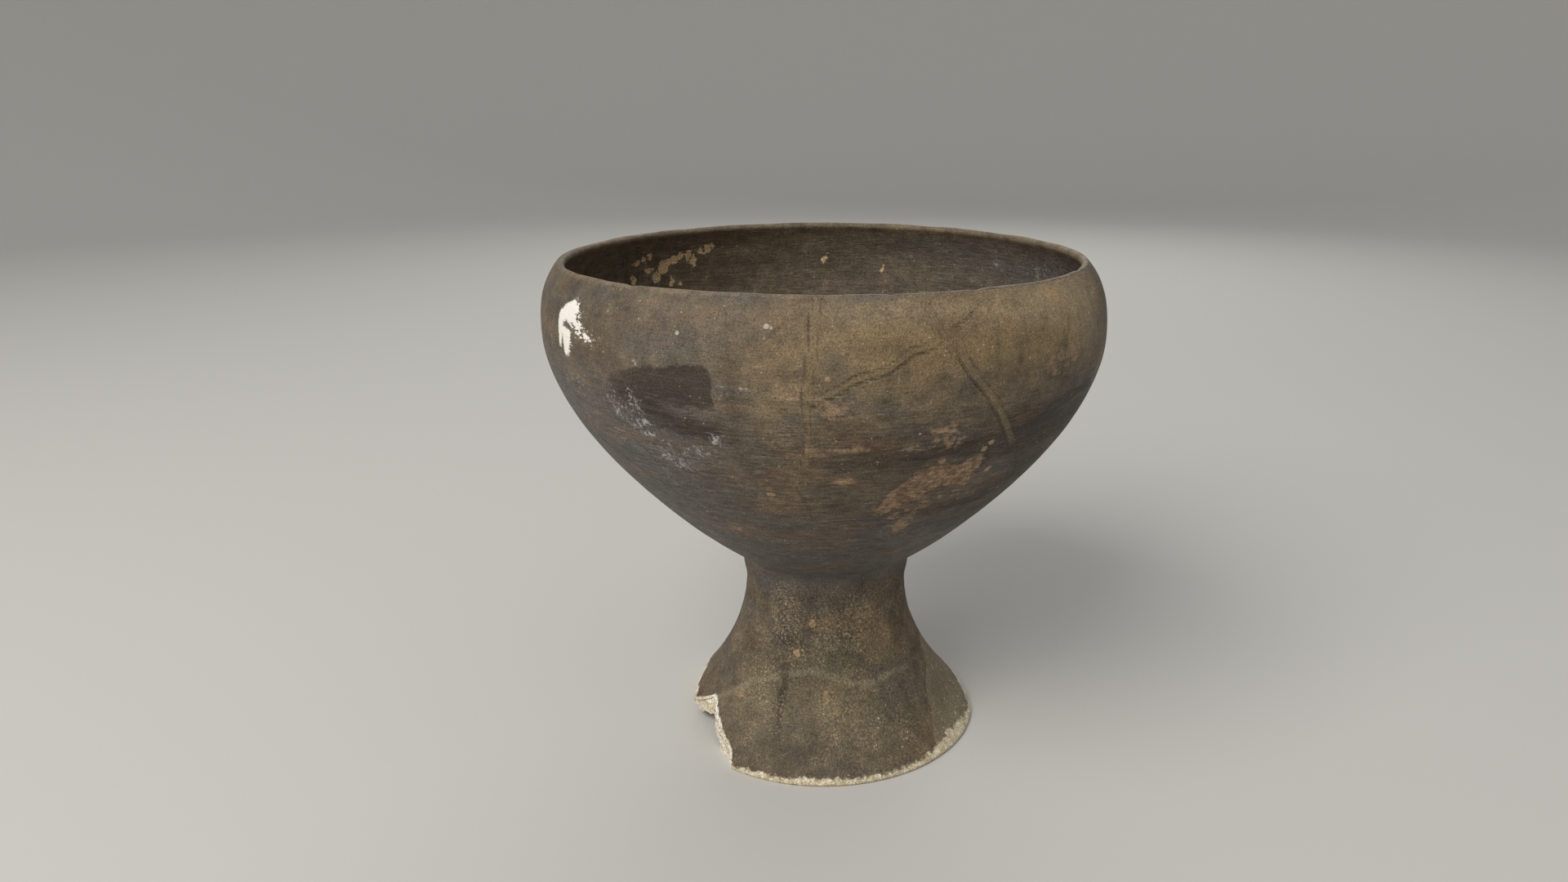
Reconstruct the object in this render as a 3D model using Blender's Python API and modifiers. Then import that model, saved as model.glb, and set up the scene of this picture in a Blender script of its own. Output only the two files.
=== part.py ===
"""A footed bowl: a hand-built, burnished clay pot on a hollow flaring foot, mended from its sherds.

The pot is one closed solid. Its profile runs from the middle of the bowl's floor, up the inside,
over the rounded lip, down the outside to the foot's edge, and up the hollow of the foot to its vault.
The profile is turned about Z, bent a little out of true as a hand-built pot is, and then the two
stretches of the foot's edge that have broken away are cut out. +Z is up, -Y is the front, and the
origin is the centre of the foot on the plane it stands on.
"""

import math

import bmesh
import bpy
import numpy as np

OBJECT_NAME = "footed_bowl"
MM = 0.001

# The lip, in millimetres as all lengths here are
LIP_HEIGHT = 226.4
LIP_RADIUS = 114.2
LIP_WALL = 4.4
LIP_LEAN = 41.0
LIP_SWEEP = 12.0

# The shoulder, where the bowl is widest, and the full curve above and below it
SHOULDER_RADIUS = 124.8
SHOULDER_HEIGHT = 196.5
SHOULDER_SWEEP_UP = 9.5
SHOULDER_SWEEP_DOWN = 35.0

# The bowl's underside, as it comes down onto the stem
STEM_TOP_RADIUS = 39.6
STEM_TOP_HEIGHT = 81.0
UNDERSIDE_LEAN = 56.0
UNDERSIDE_SWEEP = 40.0
NECK_FILLET = 9.0

# The stem and the flaring foot
WAIST_RADIUS = 38.1
WAIST_HEIGHT = 71.0
WAIST_SWEEP = 27.0
FLARE_LEAN = 50.0
FLARE_SWEEP = 20.0
FOOT_RADIUS = 74.8
FOOT_EDGE_HEIGHT = 3.4
FOOT_EDGE_ROUND = 2.2

# Thickness of the clay, and the floor of the bowl over the vault of the foot
BODY_WALL = 6.4
BODY_WALL_REACH = 30.0
STEM_WALL = 8.0
FOOT_WALL = 6.2
FLOOR_HEIGHT = 88.0
FLOOR_SWEEP = 22.0
FLOOR_THICKNESS = 11.0
VAULT_RISE = 17.0

# How far the hand-built pot is out of true
AXIS_BOW = 1.1
RIM_WAVE = 0.6

# Where the foot's edge has broken away: angle round the foot in degrees, depth lost inwards
LEFT_LOSS = (
    (120, 0.0),
    (135, 2.3),
    (145, 6.0),
    (155, 10.0),
    (165, 12.6),
    (175, 12.8),
    (185, 10.2),
    (193, 8.3),
    (200, 11.5),
    (206, 15.7),
    (216, 12.0),
    (227, 7.2),
    (233, 3.8),
    (236, 0.0),
)
RIGHT_LOSS = (
    (-10, 0.0),
    (-5, 2.4),
    (5, 5.3),
    (15, 7.2),
    (25, 7.1),
    (35, 5.8),
    (45, 3.8),
    (58, 0.0),
)
CUTTER_MARGIN = 20.0
CUTTER_BELOW = 5.0

# How finely the surface is divided
TURN_STEPS = 64
CURVE_SAMPLES = 400
LIP_POINTS = 6
SHOULDER_POINTS = 6
UNDERSIDE_POINTS = 12
NECK_POINTS = 4
FLARE_POINTS = 10
EDGE_POINTS = 4
HOLLOW_POINTS = 6
VAULT_POINTS = 6
FLOOR_POINTS = 5
INSIDE_POINTS = 13
MERGE_DISTANCE = 0.00001

SHARP_ANGLE = math.radians(40.0)

CLAY_COLOUR = (0.125, 0.105, 0.078, 1.0)
CLAY_ROUGHNESS = 0.62


def clear_scene():
    """Empties the scene, so that the script gives the same result each time."""
    for obj in list(bpy.data.objects):
        bpy.data.objects.remove(obj, do_unlink=True)


def make_collection(name):
    """A new collection in the scene."""
    collection = bpy.data.collections.new(name)
    bpy.context.scene.collection.children.link(collection)
    return collection


def lean(degrees):
    """A direction in the profile's plane that runs down and outwards, so far from the vertical."""
    angle = math.radians(degrees)
    return np.array([math.sin(angle), -math.cos(angle)])


def bezier(start, start_handle, end_handle, end):
    """A dense run of points along a cubic curve."""
    t = np.linspace(0.0, 1.0, CURVE_SAMPLES)[:, None]
    return (
        (1 - t) ** 3 * start
        + 3 * (1 - t) ** 2 * t * start_handle
        + 3 * (1 - t) * t**2 * end_handle
        + t**3 * end
    )


def arc_length(curve):
    """Distance along the curve at each of its points."""
    steps = np.hypot(*np.diff(curve, axis=0).T)
    return np.concatenate([[0.0], np.cumsum(steps)])


def resample(curve, count):
    """So many points at equal distances along the curve, both ends among them."""
    length = arc_length(curve)
    stations = np.linspace(0.0, length[-1], count)
    return np.column_stack([np.interp(stations, length, axis) for axis in curve.T])


def offset_inwards(curve, thickness):
    """The curve moved square to itself by the clay's thickness, from the outer side to the inner."""
    tangent = np.gradient(curve, axis=0)
    tangent /= np.hypot(*tangent.T)[:, None]
    inward = np.column_stack([tangent[:, 1], -tangent[:, 0]])
    return curve + inward * thickness[:, None]


def outer_bowl():
    """Outside of the bowl from under the lip, over the shoulder, to the start of the neck's fillet."""
    lip_centre = np.array([LIP_RADIUS, LIP_HEIGHT - LIP_WALL / 2])
    down = lean(0.0)
    lip_way = lean(LIP_LEAN)
    lip_side = lip_centre + np.array([-lip_way[1], lip_way[0]]) * LIP_WALL / 2
    shoulder = np.array([SHOULDER_RADIUS, SHOULDER_HEIGHT])
    inward_way = lean(-UNDERSIDE_LEAN)
    neck_corner = np.array([STEM_TOP_RADIUS, STEM_TOP_HEIGHT + NECK_FILLET / 2])
    underside_end = neck_corner - inward_way * NECK_FILLET / 2
    upper = bezier(
        lip_side,
        lip_side + lip_way * LIP_SWEEP,
        shoulder - down * SHOULDER_SWEEP_UP,
        shoulder,
    )
    lower = bezier(
        shoulder,
        shoulder + down * SHOULDER_SWEEP_DOWN,
        underside_end - inward_way * UNDERSIDE_SWEEP,
        underside_end,
    )
    return upper, lower


def outer_foot(underside_end):
    """Outside of the neck's fillet, the waist and the flare, down to the top of the foot's edge."""
    down = lean(0.0)
    stem_top = np.array([STEM_TOP_RADIUS, STEM_TOP_HEIGHT])
    waist = np.array([WAIST_RADIUS, WAIST_HEIGHT])
    waist_gap = (STEM_TOP_HEIGHT - WAIST_HEIGHT) / 3
    corner = np.array([STEM_TOP_RADIUS, STEM_TOP_HEIGHT + NECK_FILLET / 2])
    flare_way = lean(FLARE_LEAN)
    edge_run = (FOOT_EDGE_HEIGHT - FOOT_EDGE_ROUND / 2) * math.tan(math.radians(FLARE_LEAN))
    flare_end = np.array([FOOT_RADIUS - edge_run, FOOT_EDGE_HEIGHT])
    neck = bezier(underside_end, corner, corner, stem_top)
    stem = bezier(stem_top, stem_top + down * waist_gap, waist - down * waist_gap, waist)
    flare = bezier(waist, waist + down * WAIST_SWEEP, flare_end - flare_way * FLARE_SWEEP, flare_end)
    return neck, np.vstack([stem, flare[1:]])


def lip_round(inner, outer):
    """The half-round lip, from the inner side of the wall over the crest to the outer side."""
    centre = (inner + outer) / 2
    start = inner - centre
    angles = np.linspace(0.0, -math.pi, LIP_POINTS + 2)[1:-1]
    turned = np.column_stack([
        np.cos(angles) * start[0] - np.sin(angles) * start[1],
        np.sin(angles) * start[0] + np.cos(angles) * start[1],
    ])
    return centre + turned


def foot_edge(flare_end):
    """The rounded outer edge of the foot, from the end of the flare to the plane it stands on."""
    toe = np.array([FOOT_RADIUS - FOOT_EDGE_ROUND / 2, 0.0])
    corner = np.array([FOOT_RADIUS, FOOT_EDGE_ROUND / 2])
    return resample(bezier(flare_end, corner, corner, toe), EDGE_POINTS + 1)[1:]


def inner_bowl(upper, lower):
    """Inside of the bowl from the lip down to the middle of its floor."""
    outside = np.vstack([upper, lower[1:]])
    blend = np.clip(arc_length(outside) / BODY_WALL_REACH, 0.0, 1.0)
    wall = LIP_WALL + (BODY_WALL - LIP_WALL) * blend
    side = offset_inwards(outside, wall)
    way = side[-1] - side[-2]
    way /= np.hypot(*way)
    middle = np.array([0.0, FLOOR_HEIGHT])
    flat = np.array([1.0, 0.0])
    handle = min(FLOOR_SWEEP, side[-1][0] / 2)
    floor = bezier(side[-1], side[-1] + way * handle / 2, middle + flat * handle, middle)
    return resample(side, INSIDE_POINTS), resample(floor, FLOOR_POINTS)[1:]


def foot_hollow(stem_and_flare):
    """Hollow of the foot from the plane it stands on up to the middle of its vault."""
    share = np.clip((WAIST_HEIGHT - stem_and_flare[:, 1]) / WAIST_HEIGHT, 0.0, 1.0)
    wall = STEM_WALL + (FOOT_WALL - STEM_WALL) * share
    inside = offset_inwards(stem_and_flare, wall)
    vault_top = FLOOR_HEIGHT - FLOOR_THICKNESS
    spring = vault_top - VAULT_RISE
    way = inside[-1] - inside[-2]
    run_out = inside[-1] + way * max(inside[-1][1], 0.0) / abs(way[1])
    inside = np.vstack([inside, run_out])
    height = inside[::-1, 1]
    radius = inside[::-1, 0]
    levels = np.linspace(0.0, spring, CURVE_SAMPLES)
    wall_line = np.column_stack([np.interp(levels, height, radius), levels])
    spring_radius = wall_line[-1][0]
    angles = np.linspace(0.0, math.pi / 2, VAULT_POINTS + 1)[1:]
    vault = np.column_stack([
        spring_radius * np.cos(angles),
        spring + VAULT_RISE * np.sin(angles),
    ])
    vault[-1, 0] = 0.0
    return resample(wall_line, HOLLOW_POINTS), vault


def pot_profile():
    """The whole profile from the axis on the bowl's floor to the axis under the foot's vault."""
    upper, lower = outer_bowl()
    neck, stem_and_flare = outer_foot(lower[-1])
    edge = foot_edge(stem_and_flare[-1])
    inside, floor = inner_bowl(upper, lower)
    hollow, vault = foot_hollow(stem_and_flare)
    return np.vstack([
        floor[::-1],
        inside[::-1],
        lip_round(inside[0], upper[0]),
        resample(upper, SHOULDER_POINTS),
        resample(lower, UNDERSIDE_POINTS)[1:],
        resample(neck, NECK_POINTS)[1:],
        resample(stem_and_flare, FLARE_POINTS)[1:],
        edge,
        hollow,
        vault,
    ])


def turn_profile(profile, collection):
    """The profile as an edge chain with a Screw modifier, read back as one closed mesh."""
    guide_mesh = bpy.data.meshes.new("profile")
    points = [(radius * MM, 0.0, height * MM) for radius, height in profile]
    edges = [(i, i + 1) for i in range(len(points) - 1)]
    guide_mesh.from_pydata(points, edges, [])
    guide = bpy.data.objects.new("profile", guide_mesh)
    collection.objects.link(guide)
    screw = guide.modifiers.new("turn", "SCREW")
    screw.axis = "Z"
    screw.angle = math.tau
    screw.steps = TURN_STEPS
    screw.render_steps = TURN_STEPS
    screw.use_merge_vertices = True
    screw.merge_threshold = MERGE_DISTANCE
    evaluated = guide.evaluated_get(bpy.context.evaluated_depsgraph_get())
    mesh = bpy.data.meshes.new_from_object(evaluated)
    bpy.data.objects.remove(guide, do_unlink=True)
    weld(mesh)
    return mesh


def weld(mesh):
    """Joins the points that lie on one another and drops the faces this leaves empty."""
    shape = bmesh.new()
    shape.from_mesh(mesh)
    bmesh.ops.remove_doubles(shape, verts=shape.verts, dist=MERGE_DISTANCE)
    bmesh.ops.dissolve_degenerate(shape, edges=shape.edges, dist=MERGE_DISTANCE / 10)
    bmesh.ops.recalc_face_normals(shape, faces=shape.faces)
    shape.to_mesh(mesh)
    shape.free()


def bend_out_of_true(mesh):
    """Bows the pot's axis sideways and lets its rim rise and fall, with the foot left flat."""
    points = np.empty(len(mesh.vertices) * 3, dtype=np.float32)
    mesh.vertices.foreach_get("co", points)
    points = points.reshape(-1, 3).astype(float)
    height = points[:, 2] / MM
    around = np.arctan2(points[:, 1], points[:, 0])
    near_rim = np.clip((height - SHOULDER_HEIGHT) / (LIP_HEIGHT - SHOULDER_HEIGHT), 0.0, 1.0)
    eased = near_rim**2 * (3 - 2 * near_rim)
    points[:, 0] += AXIS_BOW * MM * np.sin(math.pi * height / SHOULDER_HEIGHT)
    points[:, 2] -= RIM_WAVE * MM * eased * np.cos(2 * around)
    mesh.vertices.foreach_set("co", points.astype(np.float32).ravel())
    mesh.update()


def loss_cutter(name, loss, collection):
    """An upright prism outside a line round the foot, which takes away the clay that has broken off."""
    outer = FOOT_RADIUS + CUTTER_MARGIN
    broken = [(math.radians(angle), FOOT_RADIUS - depth) for angle, depth in loss]
    ends = [(broken[-1][0], outer), (broken[0][0], outer)]
    far = np.linspace(ends[0][0], ends[1][0], len(loss))
    outline = broken + [(angle, outer) for angle in far]
    top = STEM_TOP_HEIGHT / 2
    curve = bpy.data.curves.new(name, "CURVE")
    curve.dimensions = "2D"
    curve.fill_mode = "BOTH"
    curve.extrude = (top + CUTTER_BELOW) / 2 * MM
    spline = curve.splines.new("POLY")
    spline.points.add(len(outline) - 1)
    for point, (angle, radius) in zip(spline.points, outline):
        point.co = (radius * math.cos(angle) * MM, radius * math.sin(angle) * MM, 0.0, 1.0)
    spline.use_cyclic_u = True
    drawn = bpy.data.objects.new(name, curve)
    drawn.location.z = (top - CUTTER_BELOW) / 2 * MM
    collection.objects.link(drawn)
    bpy.context.view_layer.update()
    evaluated = drawn.evaluated_get(bpy.context.evaluated_depsgraph_get())
    mesh = bpy.data.meshes.new_from_object(evaluated)
    weld(mesh)
    cutter = bpy.data.objects.new(name, mesh)
    cutter.matrix_world = drawn.matrix_world
    collection.objects.link(cutter)
    bpy.data.objects.remove(drawn, do_unlink=True)
    cutter.hide_render = True
    cutter.display_type = "WIRE"
    return cutter


def clay_material():
    """Smoothed grey-brown fired clay."""
    material = bpy.data.materials.new("burnished_clay")
    material.use_nodes = True
    surface = material.node_tree.nodes["Principled BSDF"]
    surface.inputs["Base Color"].default_value = CLAY_COLOUR
    surface.inputs["Roughness"].default_value = CLAY_ROUGHNESS
    surface.inputs["Metallic"].default_value = 0.0
    return material


def make_pot(pot_collection, cutter_collection):
    """The pot itself, with the broken stretches of its foot cut away."""
    mesh = turn_profile(pot_profile(), cutter_collection)
    bend_out_of_true(mesh)
    mesh.name = OBJECT_NAME
    mesh.materials.clear()
    mesh.materials.append(clay_material())
    mesh.shade_smooth()
    mesh.set_sharp_from_angle(angle=SHARP_ANGLE)
    pot = bpy.data.objects.new(OBJECT_NAME, mesh)
    pot_collection.objects.link(pot)
    for name, loss in (("left_loss", LEFT_LOSS), ("right_loss", RIGHT_LOSS)):
        cut = pot.modifiers.new(name, "BOOLEAN")
        cut.operation = "DIFFERENCE"
        cut.solver = "EXACT"
        cut.object = loss_cutter(name, loss, cutter_collection)
    return pot


def main():
    """Builds the footed bowl."""
    clear_scene()
    pot_collection = make_collection(OBJECT_NAME)
    cutter_collection = make_collection("cutters")
    make_pot(pot_collection, cutter_collection)


main()
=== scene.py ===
"""The look of the footed bowl: a hand-built, burnished clay pot on a hollow, broken foot.

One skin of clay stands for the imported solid. It repeats the solid's profile and the two breaks of
its foot, and adds what a turned solid can't hold: the unevenness of a hand-built wall, the mended
seams, a spalled patch, nicks in the lip and the rough faces of the breaks. The same marks are kept
on the skin as attributes in millimetres, from which the clay's finish draws its edges and tones.

Places on the pot are given as an angle round it, in degrees from the front and growing to the
right, and a height over the floor in millimetres.
"""

from __future__ import annotations

import logging
import math
from collections.abc import Sequence
from dataclasses import dataclass
from enum import IntEnum

import bpy
import numpy as np
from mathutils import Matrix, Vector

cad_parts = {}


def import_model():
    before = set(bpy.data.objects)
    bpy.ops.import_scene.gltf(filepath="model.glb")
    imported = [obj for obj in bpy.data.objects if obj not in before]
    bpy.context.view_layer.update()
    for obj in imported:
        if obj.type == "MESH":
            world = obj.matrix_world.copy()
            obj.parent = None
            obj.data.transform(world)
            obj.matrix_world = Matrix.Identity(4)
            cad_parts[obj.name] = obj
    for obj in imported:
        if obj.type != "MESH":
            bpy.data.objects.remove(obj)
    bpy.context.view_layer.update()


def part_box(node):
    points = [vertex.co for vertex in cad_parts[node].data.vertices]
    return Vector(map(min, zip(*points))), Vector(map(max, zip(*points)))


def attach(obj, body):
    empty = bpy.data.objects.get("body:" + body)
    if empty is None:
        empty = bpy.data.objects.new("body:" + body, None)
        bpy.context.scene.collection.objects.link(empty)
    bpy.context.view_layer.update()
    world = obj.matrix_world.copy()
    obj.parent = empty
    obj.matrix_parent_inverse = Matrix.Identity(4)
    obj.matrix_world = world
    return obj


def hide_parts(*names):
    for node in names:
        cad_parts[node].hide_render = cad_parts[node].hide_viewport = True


LOG = logging.getLogger("footed_bowl")
MM = 0.001
NODE = "footed_bowl"
FAR = 40.0

Socket = bpy.types.NodeSocket
Line = tuple[tuple[float, float], ...]
Blots = tuple[tuple[float, ...], ...]
Colour = tuple[float, float, float, float]


def lean(degrees: float) -> np.ndarray:
    """A direction in the profile's plane, running down and outwards, so far from the vertical."""
    angle = math.radians(degrees)
    return np.array([math.sin(angle), -math.cos(angle)])


def bezier(*corners: np.ndarray, count: int = 400) -> np.ndarray:
    """Points along a cubic curve through its end corners, pulled by its two middle ones.

    Args:
        corners: Start, start handle, end handle and end, each a radius and a height.
        count: How many points.

    Returns:
        The points, one row each: the sum of the corners weighted by the cubic's four shares.
    """
    t = np.linspace(0.0, 1.0, count)[:, None]
    shares = (1 - t) ** 3, 3 * (1 - t) ** 2 * t, 3 * (1 - t) * t**2, t**3
    return sum(share * corner for share, corner in zip(shares, corners))


def arc_length(curve: np.ndarray) -> np.ndarray:
    """Distance along a curve at each of its points."""
    steps = np.hypot(*np.diff(curve, axis=0).T)
    return np.concatenate([[0.0], np.cumsum(steps)])


def along(curve: np.ndarray, stations: np.ndarray) -> tuple[np.ndarray, np.ndarray]:
    """Radius and height at distances along a curve.

    Args:
        curve: Points of the curve, radius and height.
        stations: Distances from its start, in an array of any shape.

    Returns:
        Two arrays of the stations' shape, read off the curve between its points.
    """
    length = arc_length(curve)
    return np.interp(stations, length, curve[:, 0]), np.interp(stations, length, curve[:, 1])


def ease(value: np.ndarray, low: float, high: float) -> np.ndarray:
    """A smooth step: 0 at low or below, 1 at high or above, and an S-shaped rise between."""
    share = np.clip((value - low) / (high - low), 0.0, 1.0)
    return share**2 * (3 - 2 * share)


def hump(value: np.ndarray, width: float) -> np.ndarray:
    """A soft hump of height 1 round zero, e to the minus square of value over width."""
    return np.exp(-((value / width) ** 2))


def turn_between(angle: np.ndarray, other: float | np.ndarray) -> np.ndarray:
    """The turn from one angle to another, the short way round, in degrees."""
    return (other - angle + 180.0) % 360.0 - 180.0


def at_angle(angle: np.ndarray, radius: np.ndarray, height: np.ndarray) -> np.ndarray:
    """Places in space, x, y and z on the last axis, at angles from the front, which is -Y."""
    turn = np.radians(angle)
    return np.stack([radius * np.sin(turn), -radius * np.cos(turn), height], axis=-1)


def quads_between(rows: int, columns: int) -> np.ndarray:
    """Corner numbers of the quads between rows of points, each of which runs round a circle."""
    index = np.arange(rows * columns).reshape(rows, columns)
    after = np.roll(index, -1, axis=1)
    return np.stack([index[:-1], index[1:], after[1:], after[:-1]], axis=-1).reshape(-1, 4)


@dataclass(frozen=True)
class LatticeNoise:
    """Smooth random relief in space.

    Random numbers between -1 and 1 sit on the corners of a cubic lattice. A point takes the mean
    of its cell's eight corners, weighted by the smooth step of its place along each side.
    """

    cell: float
    seed: int
    side: int = 48

    def at(self, points: np.ndarray) -> np.ndarray:
        """The relief at points.

        Args:
            points: Places in millimetres, the last axis holding x, y and z.

        Returns:
            Numbers between -1 and 1, in the points' shape without the last axis.
        """
        table = np.random.default_rng(self.seed).uniform(-1.0, 1.0, (self.side,) * 3)
        scaled = points / self.cell
        corner = np.floor(scaled).astype(int)
        eased = ease(scaled - corner, 0.0, 1.0)
        total = np.zeros(points.shape[:-1])
        for step in np.ndindex(2, 2, 2):
            spot = (corner + step) % self.side
            weight = np.where(np.array(step) == 1, eased, 1 - eased).prod(axis=-1)
            total += weight * table[spot[..., 0], spot[..., 1], spot[..., 2]]
        return total


class Face(IntEnum):
    """The faces of the pot, in the order in which the profile passes them."""

    INSIDE = 0
    LIP = 1
    OUTSIDE = 2
    EDGE = 3
    UNDERSIDE = 4
    HOLLOW = 5


@dataclass(frozen=True)
class PotForm:
    """The pot's profile in millimetres, with the same sizes as its solid."""

    lip_height: float
    shoulder_radius: float
    rim_wave: float = 0.6
    axis_bow: float = 1.1
    lip_radius: float = 114.2
    lip_wall: float = 4.4
    lip_lean: float = 41.0
    lip_sweep: float = 12.0
    shoulder_height: float = 196.5
    shoulder_sweep_up: float = 9.5
    shoulder_sweep_down: float = 35.0
    stem_top_radius: float = 39.6
    stem_top_height: float = 81.0
    underside_lean: float = 56.0
    underside_sweep: float = 40.0
    neck_fillet: float = 9.0
    waist_radius: float = 38.1
    waist_height: float = 71.0
    waist_sweep: float = 27.0
    flare_lean: float = 50.0
    flare_sweep: float = 20.0
    foot_radius: float = 74.8
    foot_edge_height: float = 3.4
    foot_edge_round: float = 2.2
    body_wall: float = 6.4
    body_wall_reach: float = 30.0
    stem_wall: float = 8.0
    foot_wall: float = 6.2
    floor_height: float = 88.0
    floor_sweep: float = 22.0
    floor_thickness: float = 11.0
    vault_rise: float = 17.0

    @classmethod
    def from_frame(cls, node: str) -> PotForm:
        """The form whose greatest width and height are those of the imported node.

        Args:
            node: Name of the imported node.

        Returns:
            The form, its shoulder half as wide as the node's box and its lip under the box's top.
        """
        low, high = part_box(node)
        return cls(
            lip_height=round(high.z / MM - cls.rim_wave, 1),
            shoulder_radius=round((high.y - low.y) / MM / 2, 1),
        )

    def upper(self) -> np.ndarray:
        """Outside of the bowl from the lip's outer side to the shoulder, a cubic curve."""
        centre = np.array([self.lip_radius, self.lip_height - self.lip_wall / 2])
        way = lean(self.lip_lean)
        lip_side = centre + np.array([-way[1], way[0]]) * self.lip_wall / 2
        shoulder = np.array([self.shoulder_radius, self.shoulder_height])
        up = -lean(0.0)
        return bezier(
            lip_side,
            lip_side + way * self.lip_sweep,
            shoulder + up * self.shoulder_sweep_up,
            shoulder,
        )

    def neck_corner(self) -> np.ndarray:
        """Where the underside of the bowl and the stem would meet without the neck's fillet."""
        return np.array([self.stem_top_radius, self.stem_top_height + self.neck_fillet / 2])

    def lower(self) -> np.ndarray:
        """Outside of the bowl from the shoulder down to the neck's fillet, a cubic curve."""
        shoulder = np.array([self.shoulder_radius, self.shoulder_height])
        inward = lean(-self.underside_lean)
        end = self.neck_corner() - inward * self.neck_fillet / 2
        return bezier(
            shoulder,
            shoulder + lean(0.0) * self.shoulder_sweep_down,
            end - inward * self.underside_sweep,
            end,
        )

    def neck_and_stem(self) -> np.ndarray:
        """Outside from the neck's fillet down to the waist, two cubic curves."""
        corner = self.neck_corner()
        stem_top = np.array([self.stem_top_radius, self.stem_top_height])
        waist = np.array([self.waist_radius, self.waist_height])
        gap = lean(0.0) * (self.stem_top_height - self.waist_height) / 3
        fillet = bezier(self.lower()[-1], corner, corner, stem_top)
        stem = bezier(stem_top, stem_top + gap, waist - gap, waist)
        return np.vstack([fillet, stem[1:]])

    def flare(self) -> np.ndarray:
        """Outside of the foot from the waist to the top of its edge, a cubic curve."""
        waist = np.array([self.waist_radius, self.waist_height])
        slope = math.tan(math.radians(self.flare_lean))
        run = (self.foot_edge_height - self.foot_edge_round / 2) * slope
        end = np.array([self.foot_radius - run, self.foot_edge_height])
        return bezier(
            waist,
            waist + lean(0.0) * self.waist_sweep,
            end - lean(self.flare_lean) * self.flare_sweep,
            end,
        )

    def edge(self) -> np.ndarray:
        """The whole foot's rounded edge, from the flare to the plane that it stands on."""
        corner = np.array([self.foot_radius, self.foot_edge_round / 2])
        toe = np.array([self.foot_radius - self.foot_edge_round / 2, 0.0])
        return bezier(self.flare()[-1], corner, corner, toe)

    @staticmethod
    def offset(curve: np.ndarray, wall: np.ndarray) -> np.ndarray:
        """A curve moved square to itself into the clay, by the wall's thickness at each point."""
        way = np.gradient(curve, axis=0)
        way /= np.hypot(*way.T)[:, None]
        return curve + np.column_stack([way[:, 1], -way[:, 0]]) * wall[:, None]

    def inner(self) -> np.ndarray:
        """Inside of the bowl from the lip down to the middle of its floor.

        Returns:
            The outside moved in by the wall, which thickens away from the lip, and then a cubic
            curve that runs on from it and comes level at the axis.
        """
        outside = np.vstack([self.upper(), self.lower()[1:]])
        share = np.clip(arc_length(outside) / self.body_wall_reach, 0.0, 1.0)
        side = self.offset(outside, self.lip_wall + (self.body_wall - self.lip_wall) * share)
        way = side[-1] - side[-2]
        way /= np.hypot(*way)
        middle = np.array([0.0, self.floor_height])
        handle = min(self.floor_sweep, side[-1][0] / 2)
        level = middle + np.array([handle, 0.0])
        floor = bezier(side[-1], side[-1] + way * handle / 2, level, middle)
        return np.vstack([side, floor[1:]])

    def lip(self, count: int) -> np.ndarray:
        """The half-round lip, from the inner side of the wall over its crest to the outer side."""
        inner, outer = self.inner()[0], self.upper()[0]
        centre = (inner + outer) / 2
        start = inner - centre
        turn = np.linspace(0.0, -math.pi, count + 2)[1:-1]
        radius = np.cos(turn) * start[0] - np.sin(turn) * start[1]
        height = np.sin(turn) * start[0] + np.cos(turn) * start[1]
        return centre + np.column_stack([radius, height])

    def hollow(self) -> np.ndarray:
        """Underside of the foot's edge and hollow of the foot, up to the spring of its vault."""
        outside = np.vstack([self.neck_and_stem()[400:], self.flare()[1:]])
        share = np.clip((self.waist_height - outside[:, 1]) / self.waist_height, 0.0, 1.0)
        wall = self.stem_wall + (self.foot_wall - self.stem_wall) * share
        inside = self.offset(outside, wall)
        way = inside[-1] - inside[-2]
        run_out = inside[-1] + way * max(inside[-1][1], 0.0) / abs(way[1])
        inside = np.vstack([inside, run_out])[::-1]
        spring = self.floor_height - self.floor_thickness - self.vault_rise
        levels = np.linspace(0.0, spring, 400)
        wall_line = np.column_stack([np.interp(levels, inside[:, 1], inside[:, 0]), levels])
        toe = self.edge()[-1]
        return np.vstack([toe, wall_line])

    def vault(self, count: int) -> np.ndarray:
        """The foot's vault, a quarter of an ellipse from its spring to the axis."""
        radius, spring = self.hollow()[-1]
        turn = np.linspace(0.0, math.pi / 2, count + 1)[1:]
        return np.column_stack([radius * np.cos(turn), spring + self.vault_rise * np.sin(turn)])

    def bend(self, points: np.ndarray) -> np.ndarray:
        """Bows the axis sideways and lets the rim rise and fall, as the solid does.

        Args:
            points: Places in millimetres, x, y and z on the last axis.

        Returns:
            The places with x moved by the bow times the sine of the height over the shoulder's,
            and z lowered near the rim by the wave times the cosine of twice the angle round +X.
        """
        bent = points.copy()
        height = points[..., 2]
        around = np.arctan2(points[..., 1], points[..., 0])
        near_rim = ease(height, self.shoulder_height, self.lip_height)
        bent[..., 0] += self.axis_bow * np.sin(math.pi * height / self.shoulder_height)
        bent[..., 2] -= self.rim_wave * near_rim * np.cos(2 * around)
        return bent


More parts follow.
